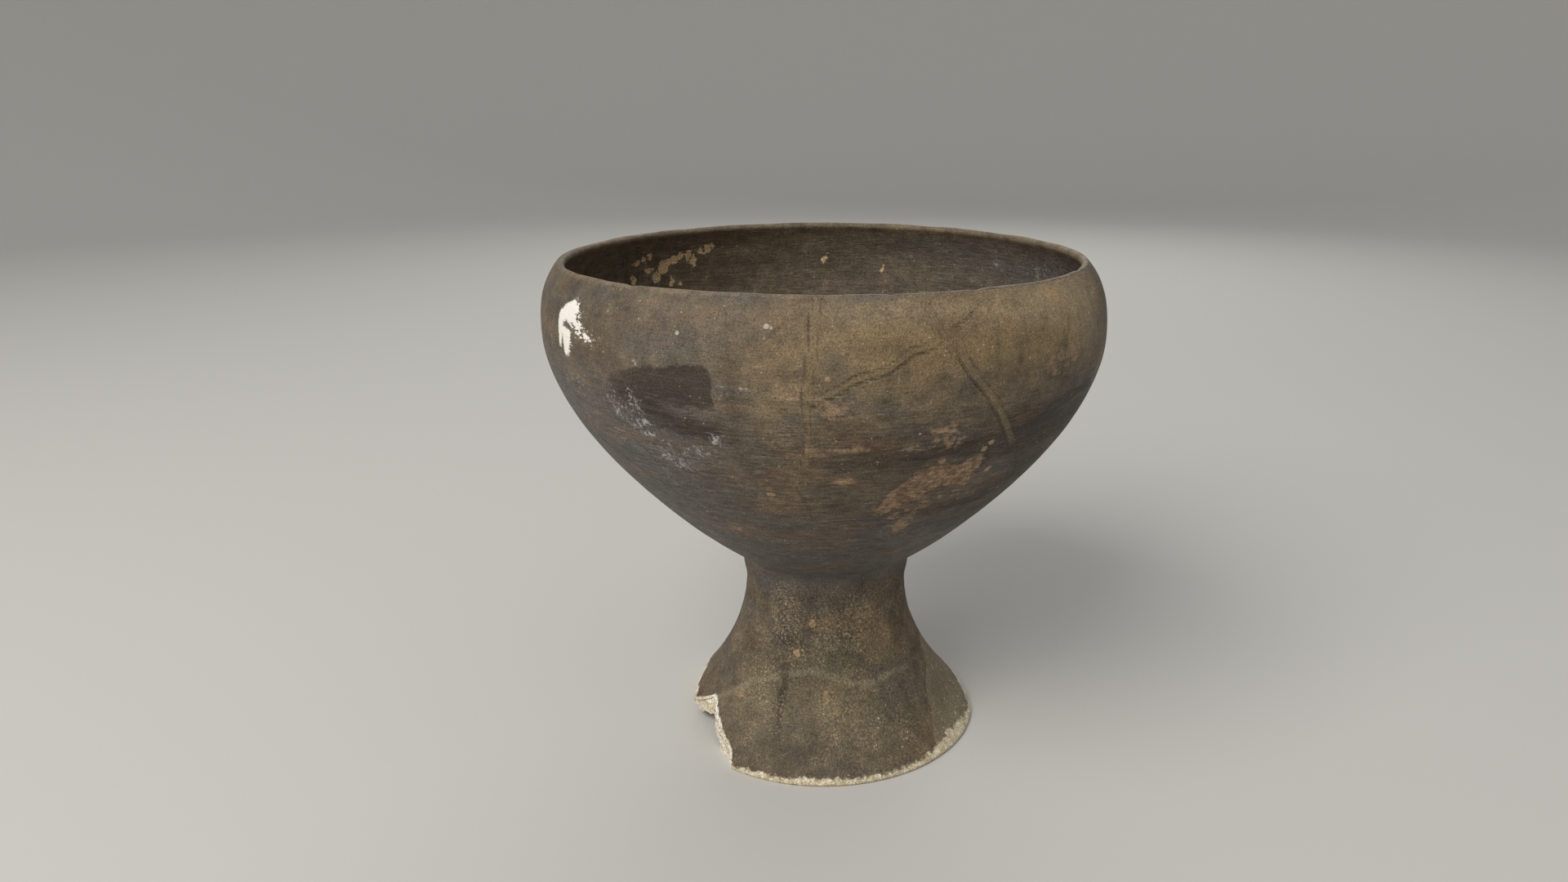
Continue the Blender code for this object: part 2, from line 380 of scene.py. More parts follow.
@dataclass(frozen=True)
class FootBreaks:
    """Where the foot's edge has broken away: angle from the front, depth lost inwards."""

    left: Line = (
        (-150, 0.0), (-135, 2.3), (-125, 6.0), (-115, 10.0), (-105, 12.6), (-95, 12.8), (-85, 10.2),
        (-77, 8.3), (-70, 11.5), (-64, 15.7), (-54, 12.0), (-43, 7.2), (-37, 3.8), (-34, 0.0),
    )
    right: Line = (
        (80, 0.0), (85, 2.4), (95, 5.3), (105, 7.2), (115, 7.1), (125, 5.8), (135, 3.8), (148, 0.0),
    )
    ragged: float = 0.55
    ragged_cell: float = 3.4
    crumb: float = 0.25
    crumb_cell: float = 1.3
    bevel: float = 3.6
    bevel_at: float = -84.0
    bevel_width: float = 15.0

    def depth(self, angle: np.ndarray, radius: float) -> np.ndarray:
        """Depth lost at each angle, with the break's raggedness on top.

        Args:
            angle: Angles from the front.
            radius: The whole foot's radius.

        Returns:
            Depths in millimetres, straight between the stated ones, plus two sizes of relief
            wherever more than a little is lost.
        """
        lost = sum(
            np.interp(angle, *np.array(stretch).T, left=0.0, right=0.0)
            for stretch in (self.left, self.right)
        )
        turn = np.radians(angle)
        ring = np.column_stack([np.sin(turn), np.cos(turn), np.zeros_like(turn)]) * radius
        rough = self.ragged * LatticeNoise(self.ragged_cell, 11).at(ring)
        rough += self.crumb * LatticeNoise(self.crumb_cell, 12).at(ring)
        return np.maximum(lost + rough * ease(lost, 0.3, 2.0), 0.0)

    def slope(self, angle: np.ndarray) -> np.ndarray:
        """How far the foot of the break's face lies behind its top, where the edge has split off."""
        return self.bevel * hump(turn_between(angle, self.bevel_at), self.bevel_width)


@dataclass(frozen=True)
class SkinGrid:
    """How finely the skin is divided: rows along each stretch of the profile, columns round it."""

    inside_rows: int = 44
    lip_rows: int = 8
    upper_rows: int = 28
    lower_rows: int = 92
    neck_rows: int = 10
    flare_rows: int = 44
    edge_rows: int = 6
    underside_rows: int = 3
    hollow_rows: int = 13
    vault_rows: int = 6
    columns: int = 390
    crowding: Line = (
        (-180, 1.0), (-158, 1.0), (-150, 2.2), (-80, 2.2), (-74, 3.2), (-60, 3.2), (-57, 6.0),
        (-45, 6.0), (-42, 3.2), (74, 3.2), (84, 1.0), (180, 1.0),
    )
    inside_crowding: float = 0.6

    def angles(self) -> np.ndarray:
        """Angles of the columns, closer together in front, at the paint and at the large break.

        Returns:
            Angles from -180 up to 180 degrees, at equal steps of the sum of a density that is 1
            behind and more in front.
        """
        fine = np.linspace(-180.0, 180.0, 3601)
        density = np.interp(fine, *np.array(self.crowding).T)
        total = np.concatenate([[0.0], np.cumsum((density[1:] + density[:-1]) / 2)])
        return np.interp(np.arange(self.columns) / self.columns * total[-1], total, fine)


class Skin:
    """The clay's surface as a grid of rows along the profile and columns round the pot.

    Attributes:
        angle: Angle of each point from the front, in degrees.
        radius: Distance of each point from the axis.
        height: Height of each point over the floor.
        run: Distance of each point from the lip's crest, down the outside or the inside.
        face: Which face of the pot each row is on.
        broken: How far each point is on a face of the foot's breaks, from 0 to 1.
    """

    def __init__(self, form: PotForm, breaks: FootBreaks, grid: SkinGrid) -> None:
        """Lays out the rows, each with its own radius and height in every column.

        Args:
            form: The pot's profile.
            breaks: The depth lost from the foot's edge.
            grid: How many rows and columns there are.
        """
        self.form = form
        self.grid = grid
        self.columns = grid.angles()
        self.lost = breaks.depth(self.columns, form.foot_radius)
        self.left = form.foot_radius - self.lost
        self.left_below = self.left - breaks.slope(self.columns)
        strips = self.bowl_rows() + self.flare_and_edge_rows() + self.underfoot_rows()
        counts = [len(strip[1]) for strip in strips]
        self.radius, self.height, self.run, self.broken = (
            np.vstack([
                np.broadcast_to(strip[part], (count, grid.columns))
                for strip, count in zip(strips, counts)
            ])
            for part in (1, 2, 3, 4)
        )
        self.face = np.repeat([int(strip[0]) for strip in strips], counts)
        self.angle = np.broadcast_to(self.columns, self.radius.shape)

    def bowl_rows(self) -> list[tuple]:
        """The rows that are the same all round: inside, lip, outside of the bowl, neck and stem.

        Returns:
            A face, and columns of radius, height, run and break, for each stretch.
        """
        form, grid = self.form, self.grid
        inner = form.inner()[::-1]
        length = arc_length(inner)[-1]
        t = np.linspace(0.0, 1.0, grid.inside_rows)
        station = length * t * (1 + grid.inside_crowding * (1 - t))
        made = [(Face.INSIDE, along(inner, station), length - station)]
        made.append((Face.LIP, form.lip(grid.lip_rows).T, np.zeros(grid.lip_rows)))
        start = 0.0
        for curve, count in (
            (form.upper(), grid.upper_rows),
            (form.lower(), grid.lower_rows),
            (form.neck_and_stem(), grid.neck_rows),
        ):
            length = arc_length(curve)[-1]
            first = 0 if start == 0.0 else 1
            station = np.linspace(0.0, length, count + first)[first:]
            made.append((Face.OUTSIDE, along(curve, station), start + station))
            start += length
        self.waist_run = start
        return [
            (face, place[0][:, None], place[1][:, None], run[:, None], np.zeros((1, 1)))
            for face, place, run in made
        ]

    def flare_and_edge_rows(self) -> list[tuple]:
        """The flare, cut off where the foot is broken, and the edge or the face of the break.

        Each column's flare runs to where its radius is the whole one less the depth lost. Below
        it the rounded edge is held back to that radius, so a deep loss leaves an upright face
        that goes down to the floor, or to the hollow where the break reaches in past it.

        Returns:
            A face and arrays of radius, height, run and break, for the flare and for the edge.
        """
        form, grid = self.form, self.grid
        flare = form.flare()
        length = arc_length(flare)
        reach = np.interp(np.minimum(self.left, flare[-1, 0]), flare[:, 0], length)
        share = np.linspace(0.0, 1.0, grid.flare_rows + 1)[1:, None]
        station = share * reach
        radius, height = along(flare, station)
        made = [(Face.OUTSIDE, radius, height, self.waist_run + station, np.zeros((1, 1)))]
        edge = form.edge()
        edge_station = np.linspace(0.0, arc_length(edge)[-1], grid.edge_rows + 1)[1:]
        edge_radius, edge_height = along(edge, edge_station)
        hollow = form.hollow()[::-1]
        foot = np.interp(np.minimum(self.left_below, hollow[-1, 0]), hollow[:, 0], hollow[:, 1])
        fall = edge_height[:, None] / form.foot_edge_height
        face = self.left_below + (self.left - self.left_below) * fall
        radius = np.minimum(edge_radius[:, None], face)
        height = foot + (height[-1] - foot) * fall
        run = self.waist_run + reach + edge_station[:, None]
        broken = np.broadcast_to(ease(self.lost, 0.5, 2.5), radius.shape)
        made.append((Face.EDGE, radius, height, run, broken))
        return made

    def underfoot_rows(self) -> list[tuple]:
        """The underside of the foot's edge, the hollow and the vault.

        Returns:
            A face and arrays of radius, height, run and break, for each stretch. Every column
            starts where the break has left it, and its rows share out what is left of the curve.
        """
        form, grid = self.form, self.grid
        hollow = form.hollow()
        length = arc_length(hollow)
        left = np.minimum(self.left_below, hollow[0, 0])
        start = np.interp(-left, -hollow[:, 0], length)
        flat = np.maximum(length[1] - start, 1.0)
        share = np.linspace(0.0, 1.0, grid.underside_rows + 1)[1:, None]
        station = start + flat * share
        run_out = np.full((1, 1), FAR)
        whole = np.zeros((1, 1))
        made = [(Face.UNDERSIDE, *along(hollow, station), run_out, whole)]
        share = np.linspace(0.0, 1.0, grid.hollow_rows + 1)[1:, None]
        station = start + flat + (length[-1] - start - flat) * share
        made.append((Face.HOLLOW, *along(hollow, station), run_out, whole))
        vault = form.vault(grid.vault_rows)
        made.append((Face.HOLLOW, vault[:, :1], vault[:, 1:], run_out, whole))
        return made

    def points(self) -> np.ndarray:
        """Places of the grid's points in millimetres, before anything is bent or roughened."""
        return at_angle(self.angle, self.radius, self.height)

    def normals(self, points: np.ndarray) -> np.ndarray:
        """Directions out of the clay: the way down the profile crossed with the way round."""
        down = np.gradient(points, axis=0)
        turn = np.radians(self.angle)
        around = np.stack([np.cos(turn), np.sin(turn), np.zeros_like(turn)], axis=-1)
        normal = np.cross(down, around)
        return normal / np.maximum(np.linalg.norm(normal, axis=-1, keepdims=True), 1e-9)

    def on(self, *faces: Face) -> np.ndarray:
        """A column that is true for the rows on any of these faces."""
        return np.isin(self.face, [int(face) for face in faces])[:, None]


class SurfaceMap:
    """Measures distances over one side of the pot, outside or inside.

    About each point the wall is taken as flat, so that a place is so many millimetres round the
    pot, its turn times the point's radius, and so many along the profile.
    """

    def __init__(self, skin: Skin, faces: tuple[Face, ...]) -> None:
        """Keeps the skin's places and the run at each height on these faces.

        Args:
            skin: The grid of the clay's surface.
            faces: The faces that make up this side, with their rows in order.
        """
        self.skin = skin
        self.where = skin.on(*faces)
        rows = self.where[:, 0]
        whole = int(np.argmin(skin.lost))
        height = skin.height[rows, whole]
        run = skin.run[rows, whole]
        order = np.argsort(height)
        self.heights, self.runs = height[order], run[order]
        self.per_degree = np.radians(skin.radius)

    def offsets(self, places: Line) -> tuple[np.ndarray, np.ndarray]:
        """Places as seen from every point of the skin.

        Args:
            places: Angles and heights.

        Returns:
            Millimetres round the pot and along the profile, with one last axis for the places.
        """
        angle, height = np.array(places, float).T
        run = np.interp(height, self.heights, self.runs)
        turn = turn_between(self.skin.angle[..., None], angle)
        return turn * self.per_degree[..., None], run - self.skin.run[..., None]

    def limit(self, distance: np.ndarray, places: Line) -> np.ndarray:
        """A distance, cut to FAR and made FAR away from the side and beyond a quarter turn."""
        middle = np.mean([angle for angle, _ in places])
        near = np.abs(turn_between(self.skin.angle, middle)) < 90.0
        return np.where(self.where & near, np.minimum(distance, FAR), FAR)

    def to_line(self, line: Line, closed: bool = False) -> np.ndarray:
        """Distance to a line of straight strokes.

        Args:
            line: Angles and heights of its corners.
            closed: Whether it runs back to its start.

        Returns:
            For each point the least distance to any stroke, by dropping a square onto it and
            keeping the foot of the square between the stroke's ends.
        """
        ring = line + line[:1] if closed else line
        x, y = self.offsets(ring)
        step_x, step_y = np.diff(x), np.diff(y)
        square = np.maximum(step_x**2 + step_y**2, 1e-9)
        share = np.clip(-(x[..., :-1] * step_x + y[..., :-1] * step_y) / square, 0.0, 1.0)
        gap = np.hypot(x[..., :-1] + share * step_x, y[..., :-1] + share * step_y)
        return self.limit(gap.min(axis=-1), line)

    def into(self, outline: Line) -> np.ndarray:
        """Depth inside a closed outline, negative outside it.

        Args:
            outline: Angles and heights of its corners.

        Returns:
            The distance to the outline, positive where a level ray crosses it an odd number of
            times.
        """
        x, y = self.offsets(outline + outline[:1])
        above = y > 0
        crossing = above[..., 1:] != above[..., :-1]
        rise = np.where(crossing, np.diff(y), 1.0)
        meets = x[..., :-1] - y[..., :-1] * np.diff(x) / rise > 0
        odd = (crossing & meets).sum(axis=-1) % 2 == 1
        distance = self.to_line(outline, closed=True)
        return np.where(odd & (distance < FAR), distance, -distance)

    def blots(self, places: Blots) -> np.ndarray:
        """Soft round blots added up.

        Args:
            places: For each blot its angle, height, half width in degrees, half height in
                millimetres and strength.

        Returns:
            The sum of the blots' humps on this side of the pot, and 0 elsewhere.
        """
        total = np.zeros(self.skin.radius.shape)
        for angle, height, wide, tall, strength in places:
            turn = turn_between(self.skin.angle, angle)
            total += strength * hump(turn, wide) * hump(self.skin.height - height, tall)
        return np.where(self.where, total, 0.0)


@dataclass(frozen=True)
class Seam:
    """One join between sherds: its middle line, and the step from it to its deeper groove.

    The other, shallower groove lies as far on the other side of the line.
    """

    line: Line
    to_groove: tuple[float, float]

    def groove(self, side: int) -> Line:
        """The deeper groove for a side of 1, the shallower one for -1, the middle line for 0."""
        turn, rise = self.to_groove
        return tuple((angle + side * turn, height + side * rise) for angle, height in self.line)


@dataclass(frozen=True)
class MendedSeams:
    """Joins between the sherds, filled with putty that stands as a low welt between two grooves."""

    clear: tuple[Seam, ...] = (
        Seam(((-0.8, 226), (-1.3, 218.7), (-1.5, 210.7), (-2, 203.4), (-2.5, 195.8), (-2.8, 191)),
             (-0.8, 0.0)),
        Seam(((-2.9, 191), (-2.7, 185), (-2.5, 179), (-3.1, 169.5), (-4.2, 161)), (-0.5, 0.0)),
        Seam(((-2.4, 189.5), (0, 192.4), (2.5, 195.2), (5, 198.5), (7.5, 200), (10, 201.4),
              (12, 204.1), (14.2, 207.4), (16.9, 208.6), (19.4, 210.8)), (0.3, -1.2)),
        Seam(((22.6, 209.8), (23.7, 203.1), (25.6, 197.1), (27.9, 191.9), (30.1, 185.8),
              (32.8, 179), (35.7, 171.1), (38.6, 164)), (-0.9, -0.4)),
    )
    faint: tuple[Line, ...] = (
        ((-3.9, 161), (-5.5, 153), (-3.6, 143), (-3, 135)),
        ((19, 212.3), (23.8, 216), (29, 222.4)),
        ((19, 212.3), (20, 215.4), (18.5, 223)),
        ((39.8, 162), (43.2, 154.4), (47, 146), (46, 141), (40, 136), (33, 130), (25, 125),
         (17, 119.5), (10, 124)),
        ((43, 158), (52, 165), (60, 185), (66, 192)),
        ((-10, 178), (-8, 172), (-4, 170)),
        ((-40, 134), (-28, 131), (-20, 130), (-14, 128.5), (-8, 131), (-3, 134), (2, 137)),
        ((-1.2, 221.8), (-5.2, 218.7), (-8.4, 213.4), (-10.3, 209.8)),
        ((-64, 170), (-52, 158), (-40, 147), (-28, 131)),
    )
    free_ends: Line = (
        (-4.2, 161), (19.4, 210.8), (22.6, 209.8), (38.6, 164), (-3, 135), (29, 222.4), (10, 124),
        (66, 192), (-10, 178), (-40, 134), (2, 137), (-10.3, 209.8), (-64, 170),
    )
    fade: float = 7.0
    welt: float = 0.2
    welt_width: float = 1.7
    faint_share: float = 0.4
    wiped: int = 2

    def grooves(self, side: int) -> list[Line]:
        """That groove of every clear seam."""
        return [seam.groove(side) for seam in self.clear]

    def distance(self, side: SurfaceMap, lines: Sequence[Line]) -> np.ndarray:
        """Distance from each point to the nearest of these lines."""
        return np.min([side.to_line(line) for line in lines], axis=0)

    def strength(self, side: SurfaceMap) -> np.ndarray:
        """How clearly the seams show: 1, sinking to 0 at each free end."""
        gaps = [side.to_line((end, end)) for end in self.free_ends]
        return np.prod([ease(gap, 0.5, self.fade) for gap in gaps], axis=0)

    def clarity(self, side: SurfaceMap) -> np.ndarray:
        """How open the grooves are: nearly wiped full along the first seams."""
        wiped = self.distance(side, self.grooves(0)[: self.wiped])
        return 1.0 - 0.4 * hump(wiped, 5.0)

    def relief(self, clear: np.ndarray, faint: np.ndarray) -> np.ndarray:
        """A low welt over each seam; the clay's finish cuts the fine grooves beside it.

        Args:
            clear: Distance to the clear seams.
            faint: Distance to the faint ones.

        Returns:
            Relief in millimetres, one hump up at each seam.
        """
        faint_welt = self.faint_share * hump(faint, self.welt_width)
        return self.welt * (hump(clear, self.welt_width) + faint_welt)


@dataclass(frozen=True)
class SurfaceMarks:
    """Outlines of what lies on the clay or has come off it, as angles and heights."""

    paint: Line = (
        (-56.4, 202.2), (-56.8, 208.5), (-56.6, 212.2), (-55.1, 214.8), (-53.1, 216.8),
        (-51.1, 218.1), (-50.6, 216.6), (-49.2, 215), (-49.3, 213.1), (-49, 211.5), (-47.3, 207.1),
        (-48.3, 206.6), (-50.7, 208.6), (-53, 209.9), (-54.8, 209.3), (-54.9, 207.7),
        (-52.9, 206.2), (-51.7, 206.6), (-51.6, 201.5), (-52.4, 196.9), (-53.7, 196.1),
        (-54.4, 201.7), (-54.9, 205), (-55.3, 199.3), (-56.3, 198.7),
    )
    paint_tail: Line = ((-48.2, 207.4), (-45.9, 205.9), (-44.3, 205.5))
    ghost: Line = (
        (-34.1, 197.8), (-29.6, 199.7), (-25.1, 201.4), (-19, 202.7), (-18.6, 199.6), (-18.8, 194),
        (-18.4, 188), (-20, 185.6), (-22.6, 187.2), (-25, 185.4), (-28, 184.6), (-30.8, 183.4),
        (-34.6, 185.2), (-40.1, 179.9), (-41.7, 183.7), (-40.7, 192.2), (-37.8, 196),
    )
    ghost_shares: Blots = (
        (-23, 197, 13, 9, 1.0),
        (-34, 190, 9, 10, 0.45),
        (-21, 188, 5, 8, 0.45),
    )
    spall: Line = (
        (31, 163.6), (32, 161.7), (32.5, 157), (31.5, 155.4), (31.3, 150.3), (31.3, 147.1),
        (28.7, 149.3), (24.4, 150.4), (21.8, 148.1), (19.7, 145.4), (17, 142.1), (13.8, 138.5),
        (11, 138.1), (11.4, 142.3), (12.9, 149.9), (15.1, 154.8), (16.9, 158), (19.4, 161.1),
        (21.6, 161.5), (21.6, 165.5), (22.5, 165.2), (24.6, 160.1), (26.6, 159.4), (27.7, 162.5),
        (29.6, 163.1),
    )
    spall_holes: Blots = (
        (26, 153.5, 1.2, 1.6, 4.0),
        (17.5, 152.6, 1.3, 1.3, 4.0),
        (21, 152, 0.9, 0.9, 2.0),
    )
    crumbs: Line = (
        (9, 140), (13, 135), (17.5, 125.7), (21.8, 125.7), (23, 132), (24, 139), (30, 142),
        (37, 140), (34, 146), (27, 148.5), (20, 146), (12, 147),
    )
    inside_spalls: Blots = (
        (-132.6, 202.6, 2.6), (-134.6, 205.6, 3.2), (-136.2, 208, 2.6), (-138, 209.6, 2.6),
        (-140, 210.6, 2.4), (-142, 210.6, 2.2), (-144, 209.6, 2.0), (-146, 212.2, 1.9),
        (-148, 213.6, 1.9), (-149.4, 215, 1.6), (-126, 211.4, 1.8), (-128, 212.4, 1.6),
        (-130.2, 213.2, 1.6), (-130.4, 206.4, 1.4), (-124.7, 202, 1.6), (-124.2, 205, 1.4),
        (-137.4, 198.4, 1.8), (-139.6, 197.6, 1.6), (-180, 205.3, 2.3), (164, 202, 0.9),
    )
    inside_chalk: Blots = (
        (131, 209.6, 3.5, 4, 0.5),
        (117.5, 208.6, 7, 5, 0.42),
        (107.6, 213.6, 6, 4, 0.36),
        (-112, 214, 8, 5, 0.2),
    )
    scratches: tuple[Line, ...] = (
        ((-39.9, 190.5), (-39.2, 187)), ((-40.6, 181.5), (-40.1, 177)),
        ((-34.9, 189.5), (-34.2, 184)), ((-36.3, 178.5), (-34.9, 174)),
        ((-33.4, 178), (-32.2, 175.4)), ((-32.7, 167), (-31.4, 165)),
        ((-32.4, 164), (-31.4, 161.8)), ((-26.9, 173.4), (-25.9, 171.3)),
        ((-27.7, 165.6), (-26.3, 164.5)), ((-29.6, 160.6), (-26.8, 157.5)),
        ((-19.7, 175), (-18.8, 172.8)), ((-23.6, 166.2), (-22.7, 164.3)),
        ((-33.4, 201), (-32.9, 199.4)), ((-17.6, 195.1), (-15.2, 194.8)),
        ((-14, 194.8), (-12.2, 194.6)), ((14, 170.6), (16.4, 171)), ((57.4, 212), (59, 205)),
        ((-60, 208), (-61, 198)),
    )
    ripple: Line = (
        (-63.7, 16.6), (-54, 22.7), (-44.8, 30.5), (-27.8, 37.1), (-16, 39.6), (-7.3, 40.6),
        (5.5, 38.8), (15.9, 34.9), (27, 34), (38.4, 35.5), (51.2, 34.7), (61.5, 34.1),
    )
    panel: Line = (
        (47, -3), (48.3, 6.2), (54.9, 13.1), (61.6, 22.5), (73.3, 27.9), (84, 36.2), (96, 34),
        (108, 20), (108, -3),
    )
    spots: Blots = (
        (-9.1, 216.2, 0.9), (-8.4, 215.8, 0.8), (-24.5, 212.7, 0.45), (16.3, 176.9, 0.6),
        (2.2, 189.5, 0.4), (57.4, 211.4, 0.5), (57.9, 209.8, 0.6), (58.4, 208, 0.5),
    )
    chips: Blots = (
        (-11.2, 149.3, 1.7), (-9, 62, 1.4), (-18.5, 48, 1.5), (30.9, 166, 1.2), (31.9, 168.8, 1.0),
        (35, 154.6, 1.3), (0.6, 199.5, 1.0), (28.5, 220, 1.3), (45.6, 221.6, 2.8),
        (47, 220.6, 2.6), (48.2, 219, 1.8),
    )


@dataclass(frozen=True)
class ClayTones:
    """Soft blots of tone: angle, height, half width, half height and strength of each."""

    ochre: Blots = (
        (-8, 198, 7, 18, 0.35), (6, 212, 14, 12, 0.4), (30, 214, 24, 12, 0.4), (0, 184, 6, 8, 0.3),
        (17, 190, 12, 12, 0.25), (48, 206, 14, 15, 0.6), (28, 206, 14, 12, 0.35),
        (12, 204, 10, 12, 0.25), (-22, 126, 10, 10, 0.25), (-12, 148, 14, 16, 0.25),
        (8, 168, 12, 8, 0.2), (-49, 194, 6, 8, 0.35), (3, 26, 10, 8, 0.4), (16, 23, 8, 8, 0.45),
        (18, 84, 14, 7, 0.3), (38, 54, 20, 14, 0.55), (54, 8, 12, 8, 0.3),
    )
    # The three pale blots along the rim on the right are partly buff clay and partly a painted
    # highlight where the rim catches the light; the others lie on the foot.
    pale: Blots = (
        (14, 221, 20, 6, 0.45), (48, 219, 18, 9, 0.85), (55, 207, 9, 14, 0.5),
        (40, 50, 12, 10, 0.5), (-33, 28, 8, 8, 0.3), (12, 26, 8, 9, 0.3), (-47, 18, 9, 9, 0.25),
        (-40, 60, 16, 20, 0.3),
    )
    # Umber: dark firing clouds and stains. The broad blots on the right flank, from about 20 to 60
    # degrees below the shoulder, are partly painted shade that darkens the side turned from the key
    # light, and partly firing cloud. The narrow upright streak at -15 degrees and 192 mm is painted
    # shade.
    umber: Blots = (
        (18, 168, 26, 13, 0.7), (50, 172, 14, 15, 0.7), (60, 168, 9, 24, 0.4),
        (55, 146, 15, 24, 0.75), (40, 124, 14, 18, 0.3), (4, 145, 8, 12, 0.25),
        (26, 138, 18, 10, 0.5), (-15, 192, 2.2, 18, 0.45), (-11, 155, 3, 9, 0.35),
        (-22.5, 178, 5.5, 5, 0.55), (-35, 187, 8, 9, 0.6), (-26, 50, 14, 20, 0.5),
        (-28, 179, 10, 8, 0.35), (-23, 30, 2.2, 7, 0.75), (-21.5, 20, 2.2, 5, 0.6),
        (-12, 11, 14, 5, 0.4), (40, 12, 8, 6, 0.3), (48, 199, 4, 8, 0.35), (10, 46, 30, 6, 0.3),
        (38, 22, 12, 8, 0.3), (22, 215, 5, 6, 0.25),
    )
    ash: Blots = (
        (-58, 170, 16, 26, 0.75), (-28, 212, 14, 12, 0.45), (-42, 158, 24, 26, 0.8),
        (-10, 116, 70, 26, 0.8), (30, 105, 60, 20, 0.5), (12, 168, 20, 14, 0.3),
        (-29, 182, 15, 18, 0.45), (150, 150, 60, 40, 0.5), (-120, 170, 40, 40, 0.4),
        (-20, 84, 90, 12, 0.55), (-29, 56, 12, 14, 0.6), (-45, 76, 14, 8, 0.4),
    )
    inside_ash: Blots = (
        (112, 208, 30, 24, 0.75), (150, 214, 16, 8, 0.4),
    )
    olive: Blots = (
        (-28, 30, 30, 24, 0.8), (24, 22, 30, 16, 0.7), (-32, 62, 12, 14, 0.4), (8, 48, 30, 8, 0.6),
    )
    chalk: Blots = (
        (-40, 182, 2.4, 6, 0.6), (-35, 177, 2.5, 5, 0.7), (-33, 171, 3.0, 5, 0.55),
        (-30, 162, 4.5, 5, 0.45), (-28, 158.8, 2.0, 2.5, 0.6), (-23, 168, 6.0, 5, 0.35),
        (-19.4, 174, 1.4, 3, 0.5), (-35, 187, 2.0, 6, 0.4), (-15, 119, 12, 6, 0.25),
        (-42, 112, 7, 6, 0.4), (-50, 186, 5, 12, 0.25), (58, 208, 3, 5, 0.3),
    )
    buff: Blots = (
        (1.5, 188, 3.0, 4.5, 0.8), (-4.5, 194, 3.5, 5, 0.35), (-2, 171, 1.6, 2.5, 0.9),
        (4.4, 171.4, 3.5, 1.6, 0.8), (4, 156.8, 4.0, 1.5, 0.6), (15.1, 170.8, 2.0, 0.9, 0.7),
        (22, 172, 4, 4, 0.5), (46.6, 221, 2.6, 2.8, 1.5), (50, 203, 3, 9, 0.95),
        (44, 196, 3, 6, 0.65), (-25, 125, 2.4, 3.5, 0.8), (18.4, 128.5, 3, 4, 0.8),
        (21, 178, 3, 4, 0.5), (5, 25, 2.4, 2.4, 0.9), (0.5, 31, 1.6, 4, 0.6),
        (-48, 25, 4, 2.5, 0.6),
    )
    specked: Blots = (
        (28, 18, 20, 12, 0.8), (-34, 30, 8, 8, 0.4), (-18, 22, 8, 8, 0.3), (30, 206, 30, 14, 0.35),
    )
    grains: Blots = (
        (-27, 66, 12, 16, 0.9), (22, 62, 16, 14, 1.0), (-40, 34, 16, 12, 0.3), (0, 56, 14, 8, 0.35),
        (22, 20, 26, 14, 0.35), (-32, 24, 12, 10, 0.4), (6, 24, 8, 8, 0.4),
    )


@dataclass(frozen=True)
class Handwork:
    """How uneven the hand-built wall is, in millimetres: heights, and the sizes of what repeats."""

    broad: float = 0.42
    broad_cell: float = 58.0
    small: float = 0.16
    small_cell: float = 19.0
    facet: float = 0.06
    facet_length: float = 26.0
    facet_height: float = 3.2
    grit: float = 0.13
    grit_cell: float = 2.4
    spall: float = -0.34
    spall_cell: float = 3.0
    crumbs: float = -0.3
    crumbs_cell: float = 2.6
    paint: float = 0.14
    rim_reach: float = 5.0
    rim_wear: float = 0.28
    rim_cell: float = 14.0
    shoulder: float = -0.5
    shoulder_reach: float = 24.0
    settle: float = 5.0
    break_coarse: float = 0.5
    break_coarse_cell: float = 4.2
    break_fine: float = 0.3
    break_fine_cell: float = 1.7
    sharp_degrees: float = 48.0
    nick_height: float = 1.6
    nicks: tuple[tuple[float, float, float], ...] = (
        (28.3, 2.2, 0.7), (-37.5, 2.0, 0.45), (12.0, 1.4, 0.4), (64, 3, 0.5),
    )


